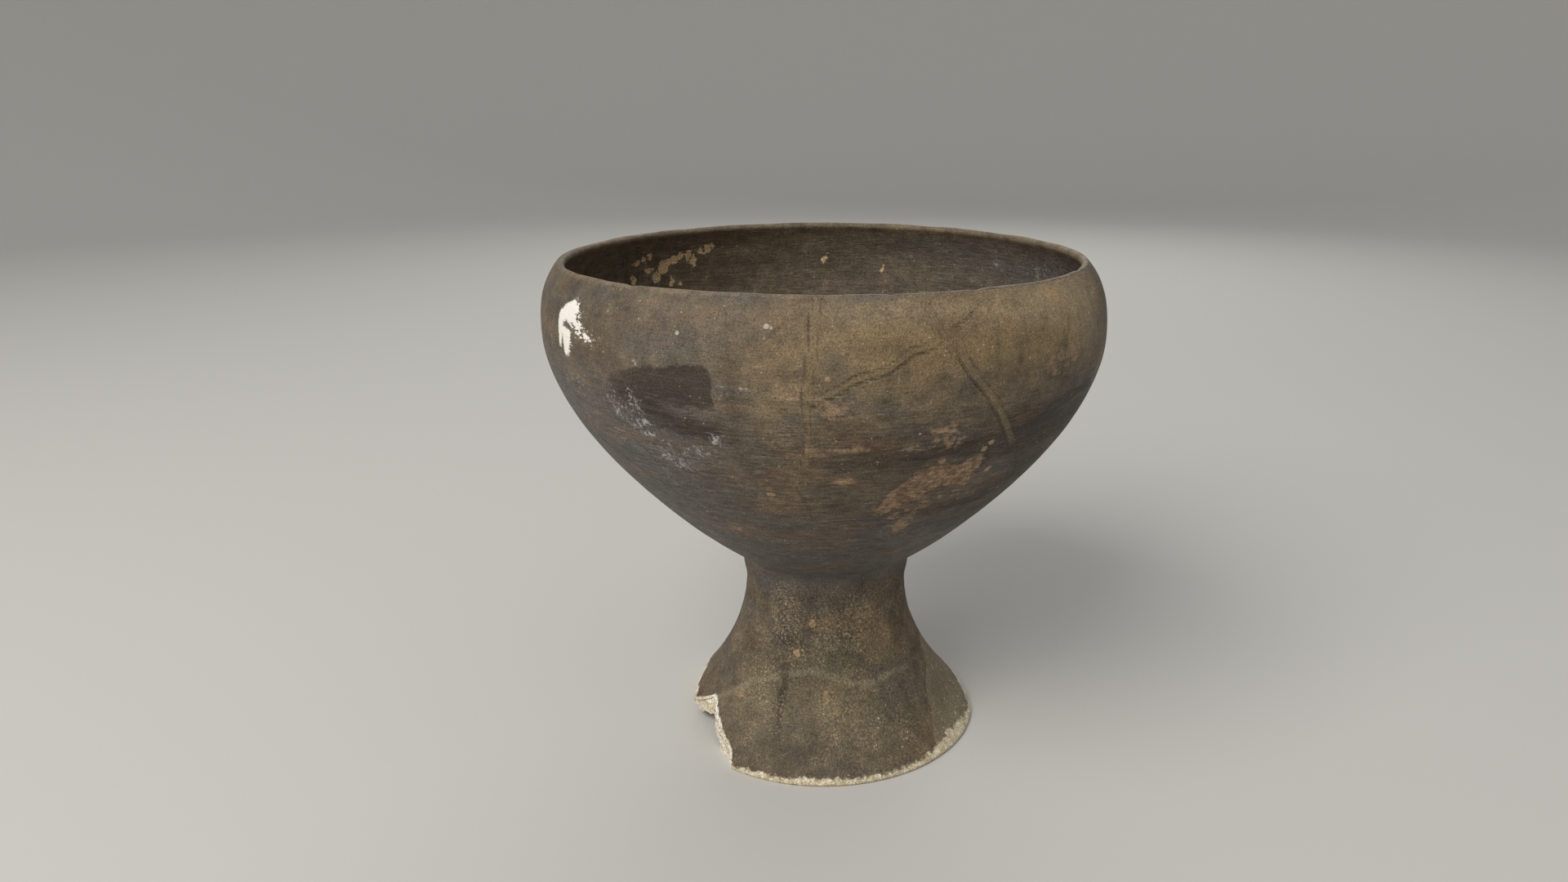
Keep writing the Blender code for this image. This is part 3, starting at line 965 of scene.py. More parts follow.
class FootedBowl:
    """The pot: its skin's relief, its attributes and its mesh.

    Attributes:
        outlined: The outlines among the marks that are kept as depths.
        toned: The tones that are kept as shares.
    """

    outlined = ("ghost", "crumbs", "panel")
    toned = ("ochre", "pale", "olive", "ash", "umber", "grains", "buff", "specked")

    def __init__(self, form: PotForm) -> None:
        """Lays out the skin and measures every mark on it.

        Args:
            form: The pot's profile, fitted to the frame.
        """
        self.form = form
        self.skin = Skin(form, FootBreaks(), SkinGrid())
        self.outside = SurfaceMap(self.skin, (Face.OUTSIDE, Face.EDGE))
        self.inside = SurfaceMap(self.skin, (Face.INSIDE,))
        self.seams = MendedSeams()
        self.marks = SurfaceMarks()
        self.tones = ClayTones()
        self.hand = Handwork()
        self.fields = self.measure()

    def measure(self) -> dict[str, np.ndarray]:
        """Every attribute of the skin, by name.

        Returns:
            Distances end in _mm and are positive inside what they measure, but for the seams and
            the lip, where they are plain distances. The rest are shares from 0 to about 1.
        """
        skin, outside, inside = self.skin, self.outside, self.inside
        marks, tones = self.marks, self.tones
        height, angle = skin.height, skin.angle
        lip_gap = np.where(skin.on(Face.INSIDE, Face.LIP, Face.OUTSIDE), skin.run, FAR)
        spall = outside.into(marks.spall) - outside.blots(marks.spall_holes)
        # The paint's tail is 1.1 mm to each side of its line and thins to nothing.
        tail = 1.1 * (1 - ease(angle, -48.5, -44.0)) - outside.to_line(marks.paint_tail)
        neck = self.form.stem_top_height
        # The grit starts under the neck and thins out below about 35 mm.
        grit = ease(-height, -neck - 8, -neck + 6) * (1 - 0.35 * ease(-height, -40, -28))
        # The worn band is tallest at 58 degrees, and a little taller in front.
        worn_height = 2.2 + 3.0 * hump(turn_between(angle, 58), 18) + 0.8 * hump(angle, 26)
        worn = worn_height - height
        chip = 1.3 * (skin.left - skin.radius) + FAR * (1 - ease(skin.lost, 0.4, 1.4))
        chip = np.where(skin.on(Face.OUTSIDE) & (height < 60.0), chip, FAR)
        scratch = np.min([outside.to_line(line) for line in marks.scratches], axis=0)
        # The rubbing shows most below the shoulder and stops at the neck.
        wipe = (0.2 + 0.8 * ease(-height, -205, -172)) * ease(height, 78, 92)
        fields = {
            "seam_mm": self.seams.distance(outside, self.seams.grooves(0)),
            "groove_mm": self.seams.distance(outside, self.seams.grooves(1)),
            "far_groove_mm": self.seams.distance(outside, self.seams.grooves(-1)),
            "faint_seam_mm": self.seams.distance(outside, self.seams.faint),
            "seam_share": self.seams.strength(outside),
            "groove_share": self.seams.strength(outside) * self.seams.clarity(outside),
            **{name + "_mm": outside.into(getattr(marks, name)) for name in self.outlined},
            "paint_mm": np.maximum(outside.into(marks.paint), tail),
            "paint_thin": ease(angle, -52.5, -49.0) * np.ones_like(height),
            "ghost_share": outside.blots(marks.ghost_shares),
            "spall_mm": spall,
            "scratch_mm": scratch,
            "ripple_mm": outside.to_line(marks.ripple),
            "worn_mm": np.where(skin.on(Face.OUTSIDE, Face.EDGE), worn, -FAR),
            "chip_mm": np.minimum(chip, FAR),
            "lip_mm": np.minimum(lip_gap, FAR),
            **{name: outside.blots(getattr(tones, name)) for name in self.toned},
            "chalk": outside.blots(tones.chalk) + inside.blots(marks.inside_chalk),
            "inside_ash": inside.blots(tones.inside_ash),
            "wipe": np.where(skin.on(Face.INSIDE), 0.8, wipe),
            "grit": np.where(skin.on(Face.OUTSIDE, Face.EDGE), grit, 0.3),
            "inside": np.where(skin.on(Face.INSIDE), 1.0, 0.0) * ease(lip_gap, -0.5, 0.8),
            "hollow": np.where(skin.on(Face.HOLLOW, Face.UNDERSIDE), 1.0, 0.0) * np.ones_like(height),
            "broken": skin.broken,
        }
        return fields

    def relief(self, points: np.ndarray) -> np.ndarray:
        """How far each point stands proud of the turned surface.

        Args:
            points: The turned surface, in millimetres.

        Returns:
            The sum of broad and small dents from the potter's hands, the level facets of the
            burnishing tool, the stem's grit, the seams, the spalled patches, the paint and the
            nicks in the lip. It dies away towards the floor, so that the foot stays flat.
        """
        skin, fields, hand = self.skin, self.fields, self.hand
        hands = hand.broad * LatticeNoise(hand.broad_cell, 1).at(points)
        hands = hands + hand.small * LatticeNoise(hand.small_cell, 2).at(points)
        level = points / np.array([hand.facet_length, hand.facet_length, hand.facet_height])
        burnish = hand.facet * LatticeNoise(1.0, 3).at(level)
        grit = hand.grit * fields["grit"] * LatticeNoise(hand.grit_cell, 4).at(points)
        seams = self.seams.relief(fields["seam_mm"], fields["faint_seam_mm"]) * fields["seam_share"]
        uneven = 1 + 0.5 * LatticeNoise(hand.spall_cell, 5).at(points)
        spall = hand.spall * ease(fields["spall_mm"], -0.6, 1.0) * uneven
        broken_up = ease(LatticeNoise(hand.crumbs_cell, 6).at(points), 0.1, 0.5)
        crumbs = hand.crumbs * ease(fields["crumbs_mm"], 0, 3) * broken_up
        paint = hand.paint * ease(fields["paint_mm"], -0.3, 0.6)
        rim = hump(fields["lip_mm"], hand.rim_reach)
        total = hands * (1 - 0.8 * rim) + burnish + grit + seams + spall + crumbs + paint
        total -= rim * hand.rim_wear * (1 + LatticeNoise(hand.rim_cell, 7).at(points))
        for angle, width, depth in hand.nicks:
            gap = turn_between(skin.angle, angle) * self.outside.per_degree
            total -= depth * hump(gap, width) * hump(fields["lip_mm"], hand.nick_height)
        below = skin.height - self.form.shoulder_height
        total += hand.shoulder * hump(below, hand.shoulder_reach)
        return total * ease(skin.height, 0.0, hand.settle)

    def break_relief(self, points: np.ndarray) -> np.ndarray:
        """Roughness of the breaks' faces: two sizes of relief where the edge has gone."""
        hand = self.hand
        rough = hand.break_coarse * LatticeNoise(hand.break_coarse_cell, 8).at(points)
        rough += hand.break_fine * LatticeNoise(hand.break_fine_cell, 9).at(points)
        return rough * self.fields["broken"] * ease(self.skin.height, 0.0, 1.5)

    def shape(self) -> np.ndarray:
        """The finished places of the grid's points, in metres, inside the frame's box."""
        turned = self.skin.points()
        moved = self.relief(turned) + self.break_relief(turned)
        bent = self.form.bend(turned + self.skin.normals(turned) * moved[..., None]) * MM
        low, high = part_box(NODE)
        return np.clip(bent, np.array(low), np.array(high))

    def places(self, spots: Blots, inside: bool = False) -> list[tuple]:
        """Where small spots lie on the pot.

        Args:
            spots: Angle, height and radius of each.
            inside: Whether they lie on the inside of the bowl.

        Returns:
            Each spot's place in metres, on the bent profile, and its radius in millimetres.
        """
        form = self.form
        outline = np.vstack([form.upper(), form.lower(), form.neck_and_stem(), form.flare()])
        outline = form.inner()[::-1] if inside else outline[::-1]
        angle, height, size = np.array(spots).T
        radius = np.interp(height, outline[:, 1], outline[:, 0])
        points = form.bend(at_angle(angle, radius, height)) * MM
        return [(tuple(point), reach) for point, reach in zip(points, size)]

    def build(self) -> bpy.types.Object:
        """Makes the pot's mesh: quads between the rows, and a fan of triangles at each pole.

        Returns:
            The pot's object, at the origin, with the fields as attributes of its points.
        """
        places = self.shape()
        rows, columns = places.shape[:2]
        body = places[1:-1].reshape(-1, 3)
        low_pole, high_pole = len(body), len(body) + 1
        points = np.vstack([body, places[0].mean(axis=0), places[-1].mean(axis=0)])
        quads = quads_between(rows - 2, columns)
        ring = np.arange(columns)
        after = np.roll(ring, -1)
        top = (rows - 3) * columns
        first = np.column_stack([np.full(columns, low_pole), ring, after])
        last = np.column_stack([top + ring, np.full(columns, high_pole), top + after])
        fans = np.vstack([first, last])
        corners = np.concatenate([quads.ravel(), fans.ravel()])
        sizes = np.concatenate([np.full(len(quads), 4), np.full(len(fans), 3)])
        mesh = bpy.data.meshes.new("clay_skin")
        mesh.vertices.add(len(points))
        mesh.vertices.foreach_set("co", points.astype(np.float32).ravel())
        mesh.loops.add(len(corners))
        mesh.loops.foreach_set("vertex_index", corners.astype(np.int32))
        mesh.polygons.add(len(sizes))
        starts = np.concatenate([[0], np.cumsum(sizes)[:-1]])
        mesh.polygons.foreach_set("loop_start", starts.astype(np.int32))
        mesh.update(calc_edges=True)
        mesh.validate()
        mesh.shade_smooth()
        mesh.set_sharp_from_angle(angle=math.radians(self.hand.sharp_degrees))
        for name, field in self.fields.items():
            whole = np.broadcast_to(field, (rows, columns))
            values = np.concatenate([whole[1:-1].ravel(), whole[0, :1], whole[-1, :1]])
            layer = mesh.attributes.new(name, "FLOAT", "POINT")
            layer.data.foreach_set("value", values.astype(np.float32))
        pot = bpy.data.objects.new("clay_pot", mesh)
        bpy.context.scene.collection.objects.link(pot)
        LOG.info("clay_pot: %d points, %d faces", len(points), len(sizes))
        return pot


def paint_box(red: int, green: int, blue: int) -> Colour:
    """A colour as a painter would read it off a chart, 0 to 255, turned into the light it sends.

    Args:
        red: Red on the chart.
        green: Green on the chart.
        blue: Blue on the chart.

    Returns:
        Linear red, green and blue, by the power of 2.2, and an alpha of 1.
    """
    return tuple((part / 255.0) ** 2.2 for part in (red, green, blue)) + (1.0,)


class Board:
    """A material's node board, with short calls for the nodes that this finish needs."""

    def __init__(self, name: str) -> None:
        """Starts an empty board with a surface shader wired to its output.

        Args:
            name: The material's name.
        """
        self.material = bpy.data.materials.new(name)
        self.material.use_nodes = True
        self.nodes = self.material.node_tree.nodes
        self.links = self.material.node_tree.links
        self.surface = self.nodes["Principled BSDF"]
        self.place = self.node("TexCoord", {}).outputs["Object"]

    def put(self, socket: Socket, value: object) -> None:
        """Wires a socket to another one, or sets it to a plain value."""
        if isinstance(value, Socket):
            self.links.new(value, socket)
        else:
            socket.default_value = value

    def node(self, kind: str, values: dict, **settings: object) -> bpy.types.Node:
        """Makes a node.

        Args:
            kind: Blender's name for it, after ShaderNode.
            values: What to wire or set its sockets to, by their names or places. None leaves one.
            settings: Its own properties.

        Returns:
            The node.
        """
        made = self.nodes.new("ShaderNode" + kind)
        for name, value in settings.items():
            setattr(made, name, value)
        for key, value in values.items():
            if value is not None:
                self.put(made.inputs[key], value)
        return made

    def share(self, name: str) -> Socket:
        """The skin's attribute of this name."""
        return self.node("Attribute", {}, attribute_name=name).outputs["Fac"]

    def work(self, operation: str, *values: object) -> Socket:
        """One operation of arithmetic on sockets or numbers."""
        return self.node("Math", dict(enumerate(values)), operation=operation).outputs[0]

    def times(self, value: object, other: object) -> Socket:
        """Two numbers multiplied."""
        return self.work("MULTIPLY", value, other)

    def plus(self, value: object, other: object) -> Socket:
        """Two numbers added."""
        return self.work("ADD", value, other)

    def less(self, value: object, other: object) -> Socket:
        """One number less another."""
        return self.work("SUBTRACT", value, other)

    def larger(self, value: object, other: object) -> Socket:
        """The larger of two numbers."""
        return self.work("MAXIMUM", value, other)

    def scaled(self, value: object, factor: object, offset: object) -> Socket:
        """A number times a factor, plus an offset."""
        return self.work("MULTIPLY_ADD", value, factor, offset)

    def read_off(self, value: object, scale: tuple, kind: str = "LINEAR") -> Socket:
        """A number read off a scale, which holds its low and high ends and what each is worth."""
        values = dict(enumerate((value, *scale)))
        return self.node("MapRange", values, interpolation_type=kind).outputs["Result"]

    def step(self, value: object, low: float, high: float, top: float = 1.0) -> Socket:
        """A smooth step from 0 at low to top at high, or down again if high is under low."""
        ends = (low, high, 0.0, top) if low <= high else (high, low, top, 0.0)
        return self.read_off(value, ends, "SMOOTHSTEP")

    def swing(self, value: object, dark: float, light: float) -> Socket:
        """A noise stretched over a factor, from dark at a quarter to light at three quarters."""
        return self.read_off(value, (0.25, 0.75, dark, light))

    def from_point(self, point: tuple[float, float, float]) -> Socket:
        """Distance in millimetres from a point given in metres."""
        apart = self.node("VectorMath", {0: self.place, 1: point}, operation="DISTANCE")
        return self.work("DIVIDE", apart.outputs["Value"], MM)

    def noise(
        self,
        size: float,
        detail: float = 3.0,
        rough: float = 0.55,
        level: float = 1.0,
        shift: float = 0.0,
    ) -> Socket:
        """Fractal noise on the pot's own coordinates.

        Args:
            size: Size of its largest features in millimetres.
            detail: How many finer layers lie on top.
            rough: How strong each finer layer is.
            level: How many times longer the features are round the pot than up it.
            shift: Moves the pattern, so that two of one size differ.

        Returns:
            A number about 0.5, from 0 to 1.
        """
        move = (shift, shift * 0.7, -shift)
        stretch = (1 / level, 1 / level, 1.0)
        place = self.node("Mapping", {"Vector": self.place, "Location": move, "Scale": stretch})
        values = {
            "Vector": place.outputs["Vector"],
            "Scale": 1 / (size * MM),
            "Detail": detail,
            "Roughness": rough,
        }
        return self.node("TexNoise", values).outputs["Fac"]

    def mix(self, share: object, under: object, over: object, way: str = "MIX") -> Socket:
        """One colour laid over another."""
        values = {0: share, 6: under, 7: over}
        node = self.node("Mix", values, data_type="RGBA", blend_type=way, clamp_factor=True)
        return node.outputs[2]

    def blend(self, share: object, under: object, over: object) -> Socket:
        """One number faded into another."""
        return self.node("Mix", {0: share, 2: under, 3: over}, data_type="FLOAT").outputs[0]

    def ramp(self, value: object, *stops: tuple[float, tuple]) -> Socket:
        """A colour read off a scale of stops, each a place and its colour."""
        node = self.node("ValToRGB", {"Fac": value})
        elements = node.color_ramp.elements
        for extra in stops[2:]:
            elements.new(extra[0])
        for element, (place, colour) in zip(elements, stops):
            element.position = place
            element.color = colour
        return node.outputs["Color"]

    def raise_by(self, height: object, depth: float, under: object = None) -> Socket:
        """A bump of so many millimetres on top of another."""
        values = {"Distance": depth * MM, "Height": height, "Normal": under}
        return self.node("Bump", values).outputs["Normal"]


@dataclass(frozen=True)
class BurnishedClay:
    """The clay's finish, drawn from the skin's attributes and from noise.

    The body is grey-brown clay that has been rubbed smooth, clouded by its firing and scuffed by
    use, with painted shade in the seams' grooves and on the right flank, and painted highlight
    along the lip and the right of the rim. Most fields are the colours of the things that show in
    it; sizes are in millimetres.
    """

    sheen: float = 0.22
    cloud_size: float = 46.0
    mottle_size: float = 9.0
    fleck_size: float = 2.8
    grain_size: float = 0.62
    streak_size: float = 0.9
    rub_size: float = 7.0
    crumble_size: float = 5.5
    raggedness: float = 7.0
    spot_raggedness: float = 4.5
    shed_raggedness: float = 14.0
    putty_share: float = 0.6
    # How dark the painted shade in the seams' grooves gets.
    groove_shade_share: float = 0.5
    dark: Colour = paint_box(82, 74, 64)
    middle: Colour = paint_box(104, 93, 77)
    light: Colour = paint_box(124, 110, 89)
    ochre: Colour = paint_box(134, 114, 84)
    # Pale buff clay, and the painted highlight along the right of the rim.
    pale: Colour = paint_box(156, 138, 110)
    # Dark clay of the firing clouds, and the painted shade on the right flank.
    umber: Colour = paint_box(62, 54, 47)
    ash: Colour = paint_box(94, 90, 87)
    olive: Colour = paint_box(100, 93, 75)
    buff: Colour = paint_box(150, 126, 98)
    spall_low: Colour = paint_box(118, 99, 80)
    spall_high: Colour = paint_box(154, 129, 104)
    chalk: Colour = paint_box(192, 190, 186)
    cream: Colour = paint_box(186, 180, 164)
    paint: Colour = paint_box(244, 240, 230)
    putty: Colour = paint_box(124, 108, 82)
    # Colour of the painted shade in the seams' grooves.
    groove: Colour = paint_box(56, 47, 38)
    ghost: Colour = paint_box(64, 55, 49)
    plaster: Colour = paint_box(136, 128, 104)
    sand: Colour = paint_box(204, 190, 156)
    core: Colour = paint_box(240, 233, 216)
    soot: Colour = paint_box(88, 78, 66)
    wiped: Colour = paint_box(102, 91, 76)
    chip: Colour = paint_box(164, 139, 106)
    shed: Colour = paint_box(220, 190, 146)
    rust: Colour = paint_box(120, 96, 74)
    slate: Colour = paint_box(86, 88, 92)
    tan: Colour = paint_box(140, 124, 100)
    grit: Colour = paint_box(152, 134, 106)
    grain_of_temper: Colour = paint_box(180, 160, 126)
    pit: Colour = paint_box(50, 42, 35)
    bare: Colour = paint_box(108, 96, 78)

    def dress(self, pot: bpy.types.Object, spots: list, chips: list, inside_spalls: list) -> None:
        """Gives the pot this finish.

        Args:
            pot: The clay pot, with the skin's attributes on its mesh.
            spots: Small white spots, each a place in metres and a radius in millimetres.
            chips: Small buff chips, in the same form.
            inside_spalls: Chains of spots that make up the spalled patches inside the bowl.
        """
        board = Board("burnished_clay")
        self.noises(board)
        self.seam_lines(board)
        colour = self.body_colour(board)
        colour = self.inner_colour(board, colour)
        colour = self.seams_colour(board, colour)
        colour = self.patches_colour(board, colour)
        colour = self.spots_colour(board, colour, chips, self.chip, self.spot_raggedness)
        colour = self.spots_colour(board, colour, inside_spalls, self.shed, self.shed_raggedness)
        colour = self.foot_colour(board, colour)
        colour = self.grained(board, colour)
        colour = self.specks(board, colour)
        colour = self.scuffs(board, colour)
        colour = self.spots_colour(board, colour, spots, self.cream, self.spot_raggedness)
        colour = self.paint_colour(board, colour)
        for name, value in (
            ("Base Color", colour),
            ("Roughness", self.roughness(board)),
            ("Normal", self.bumps(board)),
            ("Metallic", 0.0),
            ("Specular IOR Level", self.sheen),
        ):
            board.put(board.surface.inputs[name], value)
        pot.data.materials.append(board.material)

    def noises(self, board: Board) -> None:
        """Makes the noises that several layers share, as values of the board."""
        board.cloud = board.noise(self.cloud_size, 4.0, 0.6)
        board.mottle = board.noise(self.mottle_size, 4.0, 0.6, shift=0.4)
        board.fleck = board.noise(self.fleck_size, 3.0, 0.6, shift=0.9)
        board.grain = board.noise(self.grain_size, 2.0, 0.6, shift=1.7)
        board.streak = board.noise(self.streak_size, 3.0, 0.65, level=8.0, shift=2.3)
        board.rub = board.noise(self.rub_size, 4.0, 0.6, level=7.0, shift=3.1)
        board.crumble = board.noise(self.crumble_size, 5.0, 0.68, shift=5.2)
        board.ragged = board.scaled(board.crumble, self.raggedness, -0.5 * self.raggedness)

    def seam_lines(self, board: Board) -> None:
        """Makes the putty's band and the groove along both its sides, which come and go."""
        held = board.share("seam_share")
        wander = board.times(board.ragged, 0.1)
        lines = []
        for name, wide, strength, noise in (
            ("groove_mm", 1.1, 1.0, board.mottle),
            ("far_groove_mm", 1.0, 0.6, board.rub),
            ("faint_seam_mm", 1.2, 0.55, board.mottle),
        ):
            distance = board.plus(board.share(name), wander)
            line = board.step(distance, wide, 0.0, strength)
            lines.append(board.times(line, board.step(noise, 0.05, 0.42)))
        # These lines are painted shade in the grooves, darkest along the deeper groove; the bumps sink
        # the same lines.
        line = board.larger(board.larger(lines[0], lines[1]), lines[2])
        board.seam_line = board.times(line, board.share("groove_share"))
        band = board.step(board.plus(board.share("seam_mm"), wander), 2.1, 0.9, self.putty_share)
        board.seam_band = board.times(band, held)

    def body_colour(self, board: Board) -> Socket:
        """The clay's colour: clouds and mottles, then the blots of tone laid over them; the umber holds
        some painted shade and the pale some painted highlight.
        """
        cloudy = board.blend(0.45, board.cloud, board.mottle)
        cloudy = board.blend(0.28, cloudy, board.rub)
        colour = board.ramp(cloudy, (0.36, self.dark), (0.5, self.middle), (0.64, self.light))
        drift = board.noise(11.0, 4.0, 0.65, level=3.5, shift=12.0)
        colour = board.mix(board.step(drift, 0.52, 0.66, 0.4), colour, self.rust)
        colour = board.mix(board.step(drift, 0.48, 0.34, 0.4), colour, self.slate)
        # Besides the clay's own tones, the umber blots hold painted shade on the right flank and the
        # pale blots a painted highlight along the right of the rim.
        for name, tint, noise, spread in (
            ("ochre", self.ochre, board.mottle, 2.4),
            ("pale", self.pale, board.crumble, 2.0),
            ("olive", self.olive, board.crumble, 1.6),
            ("ash", self.ash, board.rub, 2.6),
            ("umber", self.umber, board.rub, 2.6),
        ):
            swing = board.scaled(noise, spread, 1.0 - spread / 2)
            share = board.times(board.share(name), swing)
            colour = board.mix(board.step(share, 0.0, 1.0, 0.92), colour, tint)
        sandy = board.step(board.noise(1.05, 3.0, 0.65, shift=4.4), 0.49, 0.6, 0.75)
        cover = board.scaled(board.mottle, 1.6, -0.55)
        cover = board.plus(cover, board.share("grains"))
        sandy = board.times(sandy, board.step(cover, 0.1, 0.9))
        sandy = board.times(sandy, board.step(board.share("grit"), 0.2, 0.8))
        drift = board.times(board.step(drift, 0.5, 0.66, 0.3), board.share("wipe"))
        return board.mix(drift, board.mix(sandy, colour, self.grit), self.rust)

    def inner_colour(self, board: Board, colour: Socket) -> Socket:
        """The inside of the bowl, dark and wiped level, and the bare hollow of the foot."""
        wiped = board.blend(0.5, board.rub, board.mottle)
        wiped = board.ramp(wiped, (0.36, self.soot), (0.54, self.wiped), (0.8, self.tan))
        # A faint tan band on the inside below the lip: partly worn clay, partly painted light on the
        # lip's inner face, which faces the light from above.
        band = board.scaled(board.rub, 16.0, -8.0)
        band = board.plus(board.share("lip_mm"), band)
        wiped = board.mix(board.step(band, 8.0, 4.0, 0.15), wiped, self.tan)
        wiped = board.mix(board.share("inside_ash"), wiped, self.ash)
        colour = board.mix(board.share("inside"), colour, wiped)
        bare = board.mix(board.mottle, self.dark, self.bare)
        return board.mix(board.share("hollow"), colour, bare)

    def seams_colour(self, board: Board, colour: Socket) -> Socket:
        """The putty, near the clay's own colour, and painted shade in the grooves beside it."""
        colour = board.mix(board.seam_band, colour, self.putty)
        groove_shade = board.times(board.seam_line, self.groove_shade_share)
        return board.mix(groove_shade, colour, self.groove)

    def patches_colour(self, board: Board, colour: Socket) -> Socket:
        """The ghost patch, the spalled patches, the buff spots and the crumbled streaks."""
        ghost = board.scaled(board.ragged, 0.8, board.share("ghost_mm"))
        shown = board.step(board.share("ghost_share"), 0.1, 0.9)
        ghost = board.times(board.step(ghost, -0.7, 0.5, 0.85), shown)
        colour = board.mix(ghost, colour, self.ghost)
        bared = board.mix(board.step(board.fleck, 0.36, 0.62), self.spall_low, self.spall_high)
        spot = board.scaled(board.share("buff"), 0.4, board.crumble)
        spot = board.scaled(board.streak, 0.4, board.less(spot, 0.2))
        near = board.step(board.share("buff"), 0.05, 0.4)
        spot = board.times(board.step(spot, 0.57, 0.76, 0.85), near)
        spot = board.times(spot, board.step(board.fleck, 0.3, 0.56))
        colour = board.mix(spot, colour, self.buff)
        crumbs = board.step(board.noise(1.7, 4.0, 0.68, level=2.2, shift=6.1), 0.5, 0.58, 0.75)
        crumbs = board.times(board.step(board.share("crumbs_mm"), -1.5, 3.0), crumbs)
        colour = board.mix(crumbs, colour, bared)
        spall = board.scaled(board.ragged, 0.9, board.share("spall_mm"))
        board.spall = board.step(spall, -0.35, 0.35)
        return board.mix(board.times(board.spall, 0.9), colour, bared)

    def foot_colour(self, board: Board, colour: Socket) -> Socket:
        """The foot's plastered side, the ripple across its front, its wear and its breaks."""
        panel = board.scaled(board.ragged, 0.3, board.share("panel_mm"))
        colour = board.mix(board.step(panel, -0.5, 0.9, 0.6), colour, self.plaster)
        brim = board.work("ABSOLUTE", panel)
        colour = board.mix(board.step(brim, 1.1, 0.1, 0.45), colour, self.grit)
        ripple = board.scaled(board.ragged, 0.35, board.share("ripple_mm"))
        here_and_there = board.step(board.mottle, 0.32, 0.56)
        ripple = board.times(board.step(ripple, 2.4, 0.2, 0.62), here_and_there)
        colour = board.mix(ripple, colour, self.plaster)
        # A tan line along the lip's crest: partly wear and dust on the edge, partly a painted highlight
        # where the crest catches the light.
        lip = board.scaled(board.crumble, 5.0, board.share("lip_mm"))
        colour = board.mix(board.step(lip, 3.6, 1.6, 0.5), colour, self.tan)
        fine = board.scaled(board.fleck, 3.6, -1.8)
        worn = board.plus(board.share("worn_mm"), fine)
        worn = board.scaled(board.ragged, 0.3, worn)
        ground = board.mix(board.step(board.fleck, 0.42, 0.62, 0.4), self.sand, self.core)
        colour = board.mix(board.step(worn, -0.5, 0.7, 0.9), colour, ground)
        pale = board.mix(board.step(board.crumble, 0.35, 0.6), self.sand, self.core)
        chip = board.scaled(board.crumble, 2.4, board.share("chip_mm"))
        colour = board.mix(board.step(chip, 3.4, 2.6, 0.9), colour, pale)
        return board.mix(board.step(board.share("broken"), 0.2, 0.6), colour, pale)

    def grained(self, board: Board, colour: Socket) -> Socket:
        """Fine light and shade: sandy grain all over, and level lines where the clay was rubbed."""
        for noise, dark, light in (
            (board.grain, 0.5, 1.5),
            (board.fleck, 0.84, 1.16),
            (board.mottle, 0.9, 1.1),
        ):
            colour = board.mix(1.0, colour, board.swing(noise, dark, light), "MULTIPLY")
        lines = board.swing(board.streak, 0.52, 1.5)
        colour = board.mix(board.share("wipe"), colour, board.mix(1.0, colour, lines, "MULTIPLY"))
        coarse = board.swing(board.noise(0.95, 3.0, 0.7, shift=7.7), 0.36, 1.64)
        return board.mix(board.share("grit"), colour, board.mix(1.0, colour, coarse, "MULTIPLY"))

    def specks(self, board: Board, colour: Socket) -> Socket:
        """Pale grains of temper, small dark pits, and white specks on the foot's plastered side."""
        panel = board.step(board.share("panel_mm"), -8.0, 2.0)
        panel = board.larger(panel, board.share("specked"))
        panel = board.times(panel, board.step(board.fleck, 0.42, 0.58))
        for cell, radius, tint, share in (
            (4.6, 0.11, self.grain_of_temper, 0.8),
            (6.3, 0.08, self.pit, 0.6),
            (2.4, 0.15, self.grain_of_temper, 0.5),
            (2.2, 0.22, self.core, panel),
        ):
            cells = board.node("TexVoronoi", {"Vector": board.place, "Scale": 1 / (cell * MM)})
            size = board.scaled(board.mottle, 2 * radius, -radius * 0.15)
            near = board.less(size, cells.outputs["Distance"])
            cover = board.times(board.step(near, 0.0, radius * 0.5), share)
            colour = board.mix(cover, colour, tint)
        return colour

    def scuffs(self, board: Board, colour: Socket) -> Socket:
        """Chalky scuffs in fine flecks, scratches, and pale lines along the rubbing."""
        scratch = board.step(board.noise(0.9, 3.0, 0.6, level=8.0, shift=8.3), 0.58, 0.72, 0.25)
        scratch = board.times(scratch, board.step(board.cloud, 0.42, 0.58))
        colour = board.mix(board.times(scratch, board.share("wipe")), colour, self.chalk)
        rough = board.noise(1.5, 4.0, 0.72, shift=9.1)
        scuff = board.scaled(board.share("chalk"), 0.22, rough)
        clumps = board.step(board.crumble, 0.44, 0.6)
        scuff = board.times(board.step(scuff, 0.56, 0.74, 0.85), clumps)
        scuff = board.times(scuff, board.step(board.share("chalk"), 0.06, 0.4))
        colour = board.mix(scuff, colour, self.chalk)
        line = board.scaled(rough, 5.0, board.share("scratch_mm"))
        return board.mix(board.step(line, 3.0, 2.1, 0.75), colour, self.chalk)

    def spots_colour(
        self,
        board: Board,
        colour: Socket,
        places: list,
        tint: Colour,
        rough: float,
    ) -> Socket:
        """Single small spots, or chains of them that run together.

        Args:
            board: The material's board.
            colour: The colour under the spots.
            places: Each spot's place in metres and its radius in millimetres.
            tint: The spots' colour.
            rough: How many millimetres their edge swings in and out.

        Returns:
            The colour with the spots on it.
        """
        swing = board.scaled(board.crumble, rough, -0.5 * rough)
        nearest = None
        for point, radius in places:
            depth = board.less(radius, board.from_point(point))
            nearest = depth if nearest is None else board.larger(nearest, depth)
        spot = board.step(board.plus(nearest, swing), -0.25, 0.25, 0.85)
        return board.mix(spot, colour, tint)

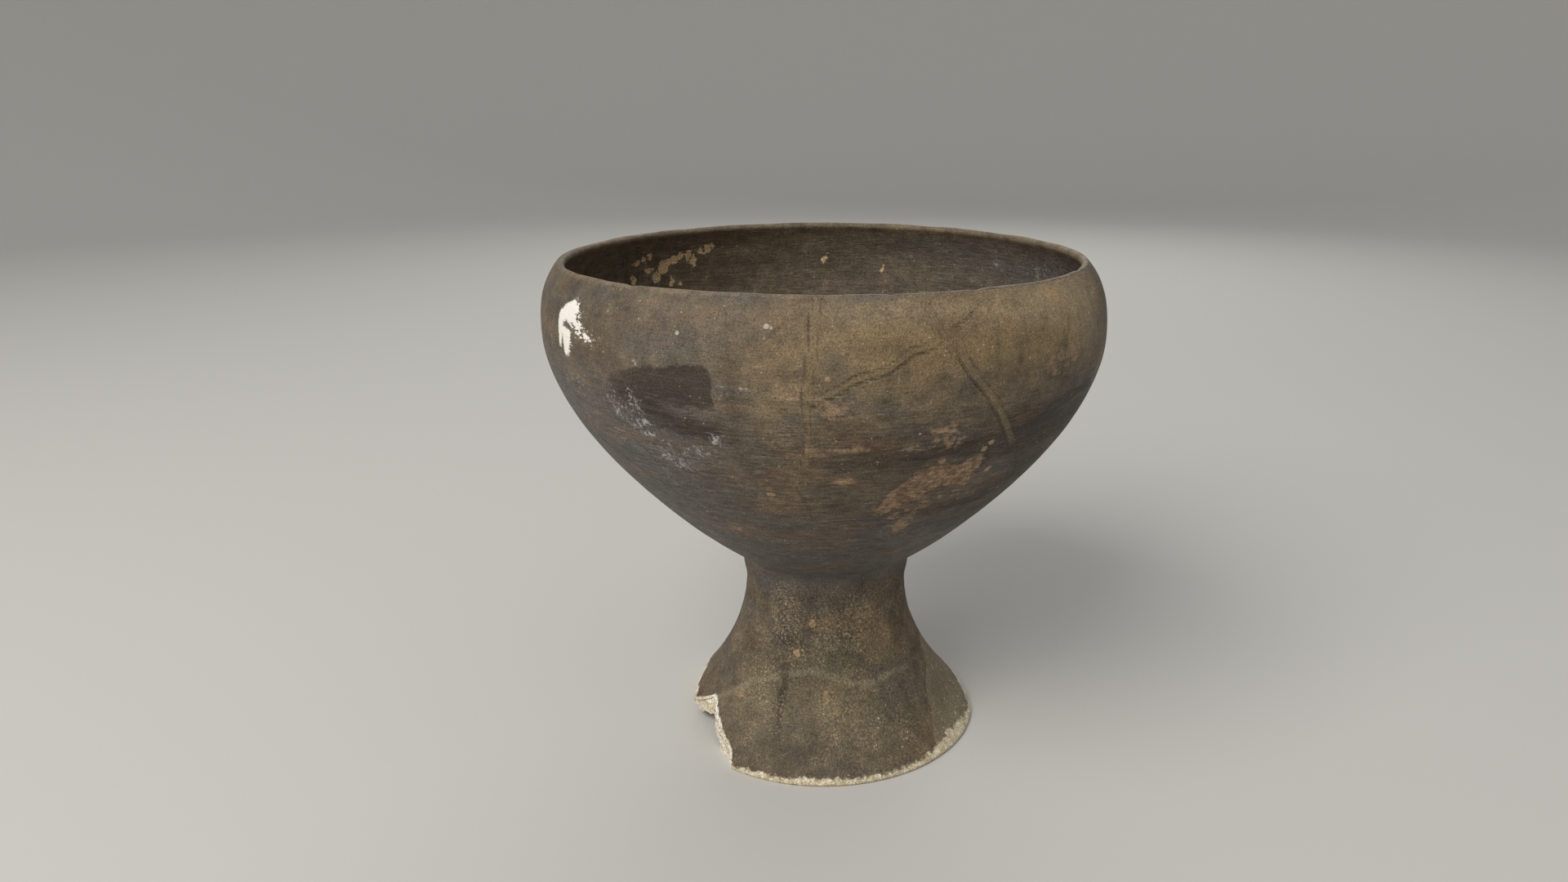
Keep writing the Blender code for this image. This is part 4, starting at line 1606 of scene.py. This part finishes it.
    def paint_colour(self, board: Board, colour: Socket) -> Socket:
        """The smear of white paint, thin where the brush left it."""
        brush = board.noise(1.0, 4.0, 0.72, level=2.5, shift=11.0)
        brush = board.less(brush, 0.5)
        spread = board.scaled(board.share("paint_thin"), 16.0, 4.0)
        brush = board.scaled(brush, spread, board.times(board.ragged, 0.2))
        paint = board.plus(board.share("paint_mm"), brush)
        return board.mix(board.step(paint, -0.9, 0.5, 0.97), colour, self.paint)

    def roughness(self, board: Board) -> Socket:
        """How dull the clay is: duller where it is gritty, worn or broken."""
        body = board.scaled(board.rub, 0.3, 0.42)
        body = board.blend(board.step(board.share("grit"), 0.3, 1.0, 0.7), body, 0.85)
        body = board.blend(board.spall, body, 0.8)
        return board.blend(board.step(board.share("broken"), 0.2, 0.6), body, 0.95)

    def bumps(self, board: Board) -> Socket:
        """Fine relief: rubbing lines, grain, grit, the seams' grooves and the spalls' edges."""
        normal = board.raise_by(board.streak, 0.25)
        normal = board.raise_by(board.grain, 0.3, normal)
        gritty = board.times(board.fleck, board.share("grit"))
        normal = board.raise_by(gritty, 0.9, normal)
        normal = board.raise_by(board.less(1.0, board.seam_line), 0.55, normal)
        return board.raise_by(board.less(1.0, board.spall), 0.3, normal)


@dataclass(frozen=True)
class Lamp:
    """A square soft light that faces the middle of the pot: side in metres, power in watts."""

    name: str
    place: tuple[float, float, float]
    size: float
    power: float
    warm: float
    aim_height: float = 0.12

    def build(self) -> None:
        """Hangs the lamp; the warmer it is, the less green and blue it gives."""
        light = bpy.data.lights.new(self.name, "AREA")
        light.shape = "SQUARE"
        light.size = self.size
        light.energy = self.power
        light.color = (1.0, 1.0 - 0.1 * self.warm, 1.0 - 0.25 * self.warm)
        lamp = bpy.data.objects.new(self.name, light)
        bpy.context.scene.collection.objects.link(lamp)
        lamp.location = self.place
        aim = -lamp.location
        aim.z += self.aim_height
        lamp.rotation_mode = "QUATERNION"
        lamp.rotation_quaternion = aim.to_track_quat("-Z", "Y")


@dataclass(frozen=True)
class Studio:
    """A pale floor that sweeps up all round, soft lights, and the camera where the photo has it."""

    flat_radius: float = 2.4
    sweep_radius: float = 1.2
    wall_height: float = 1.6
    turn_steps: int = 96
    camera_back: float = 0.4775
    camera_height: float = 0.2898
    camera_dip: float = 17.69
    focal_pixels: float = 1304.0
    frame_pixels: float = 1920.0
    axis_pixel: float = 1009.0
    sensor: float = 36.0
    paper: Colour = paint_box(200, 198, 193)
    air: Colour = (0.93, 0.96, 1.0, 1.0)
    air_strength: float = 0.39
    lamps: tuple[Lamp, ...] = (
        Lamp("key", (-1.1, -1.3, 1.7), 1.5, 45.0, 0.25),
        Lamp("fill", (1.6, -1.0, 0.9), 1.4, 1.5, 0.0),
        Lamp("back", (0.3, 1.7, 1.3), 1.2, 9.0, 0.1),
    )

    def build_floor(self) -> None:
        """The floor: a disc, a quarter round and an upright wall, turned about the pot's axis."""
        turn = np.linspace(0.0, math.pi / 2, 13)
        round_radius = self.flat_radius + self.sweep_radius * np.sin(turn)
        round_height = self.sweep_radius * (1 - np.cos(turn))
        radius = np.concatenate([[0.0, 0.3, 1.0], round_radius, round_radius[-1:]])
        height = np.concatenate([[0.0, 0.0, 0.0], round_height, [self.sweep_radius + self.wall_height]])
        around = np.arange(self.turn_steps) / self.turn_steps * math.tau
        x = radius[:, None] * np.cos(around)
        y = radius[:, None] * np.sin(around)
        z = np.broadcast_to(height[:, None], x.shape)
        points = np.stack([x, y, z], axis=-1).reshape(-1, 3)
        faces = quads_between(*x.shape)
        mesh = bpy.data.meshes.new("studio_floor")
        mesh.from_pydata(points.tolist(), [], faces.tolist())
        mesh.shade_smooth()
        floor = bpy.data.objects.new("studio_floor", mesh)
        bpy.context.scene.collection.objects.link(floor)
        board = Board("studio_paper")
        board.surface.inputs["Base Color"].default_value = self.paper
        board.surface.inputs["Roughness"].default_value = 0.9
        mesh.materials.append(board.material)

    def build_lights(self) -> None:
        """A large key light high on the left, a fill on the right, a back light and grey air."""
        for lamp in self.lamps:
            lamp.build()
        world = bpy.data.worlds.new("studio_air")
        bpy.context.scene.world = world
        world.use_nodes = True
        air = world.node_tree.nodes["Background"]
        air.inputs["Color"].default_value = self.air
        air.inputs["Strength"].default_value = self.air_strength

    def build_camera(self) -> None:
        """The camera, with the distance, dip and lens worked out from the photo's ellipses."""
        data = bpy.data.cameras.new("camera")
        data.sensor_width = self.sensor
        data.lens = self.sensor * self.focal_pixels / self.frame_pixels
        data.shift_x = (self.frame_pixels / 2 - self.axis_pixel) / self.frame_pixels
        data.clip_start = 0.01
        camera = bpy.data.objects.new("camera", data)
        bpy.context.scene.collection.objects.link(camera)
        camera.location = (0.0, -self.camera_back, self.camera_height)
        camera.rotation_euler = (math.radians(90.0 - self.camera_dip), 0.0, 0.0)
        bpy.context.scene.camera = camera
        bpy.context.scene.view_settings.view_transform = "Standard"


def main() -> None:
    """Builds the pot on the frame, dresses it and sets up the studio round it."""
    logging.basicConfig(level=logging.INFO, format="%(message)s")
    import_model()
    bowl = FootedBowl(PotForm.from_frame(NODE))
    pot = bowl.build()
    BurnishedClay().dress(
        pot,
        bowl.places(bowl.marks.spots),
        bowl.places(bowl.marks.chips),
        bowl.places(bowl.marks.inside_spalls, inside=True),
    )
    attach(pot, "root")
    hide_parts(NODE)
    studio = Studio()
    studio.build_floor()
    studio.build_lights()
    studio.build_camera()
    LOG.info("the studio is ready")


if __name__ == "__main__":
    main()
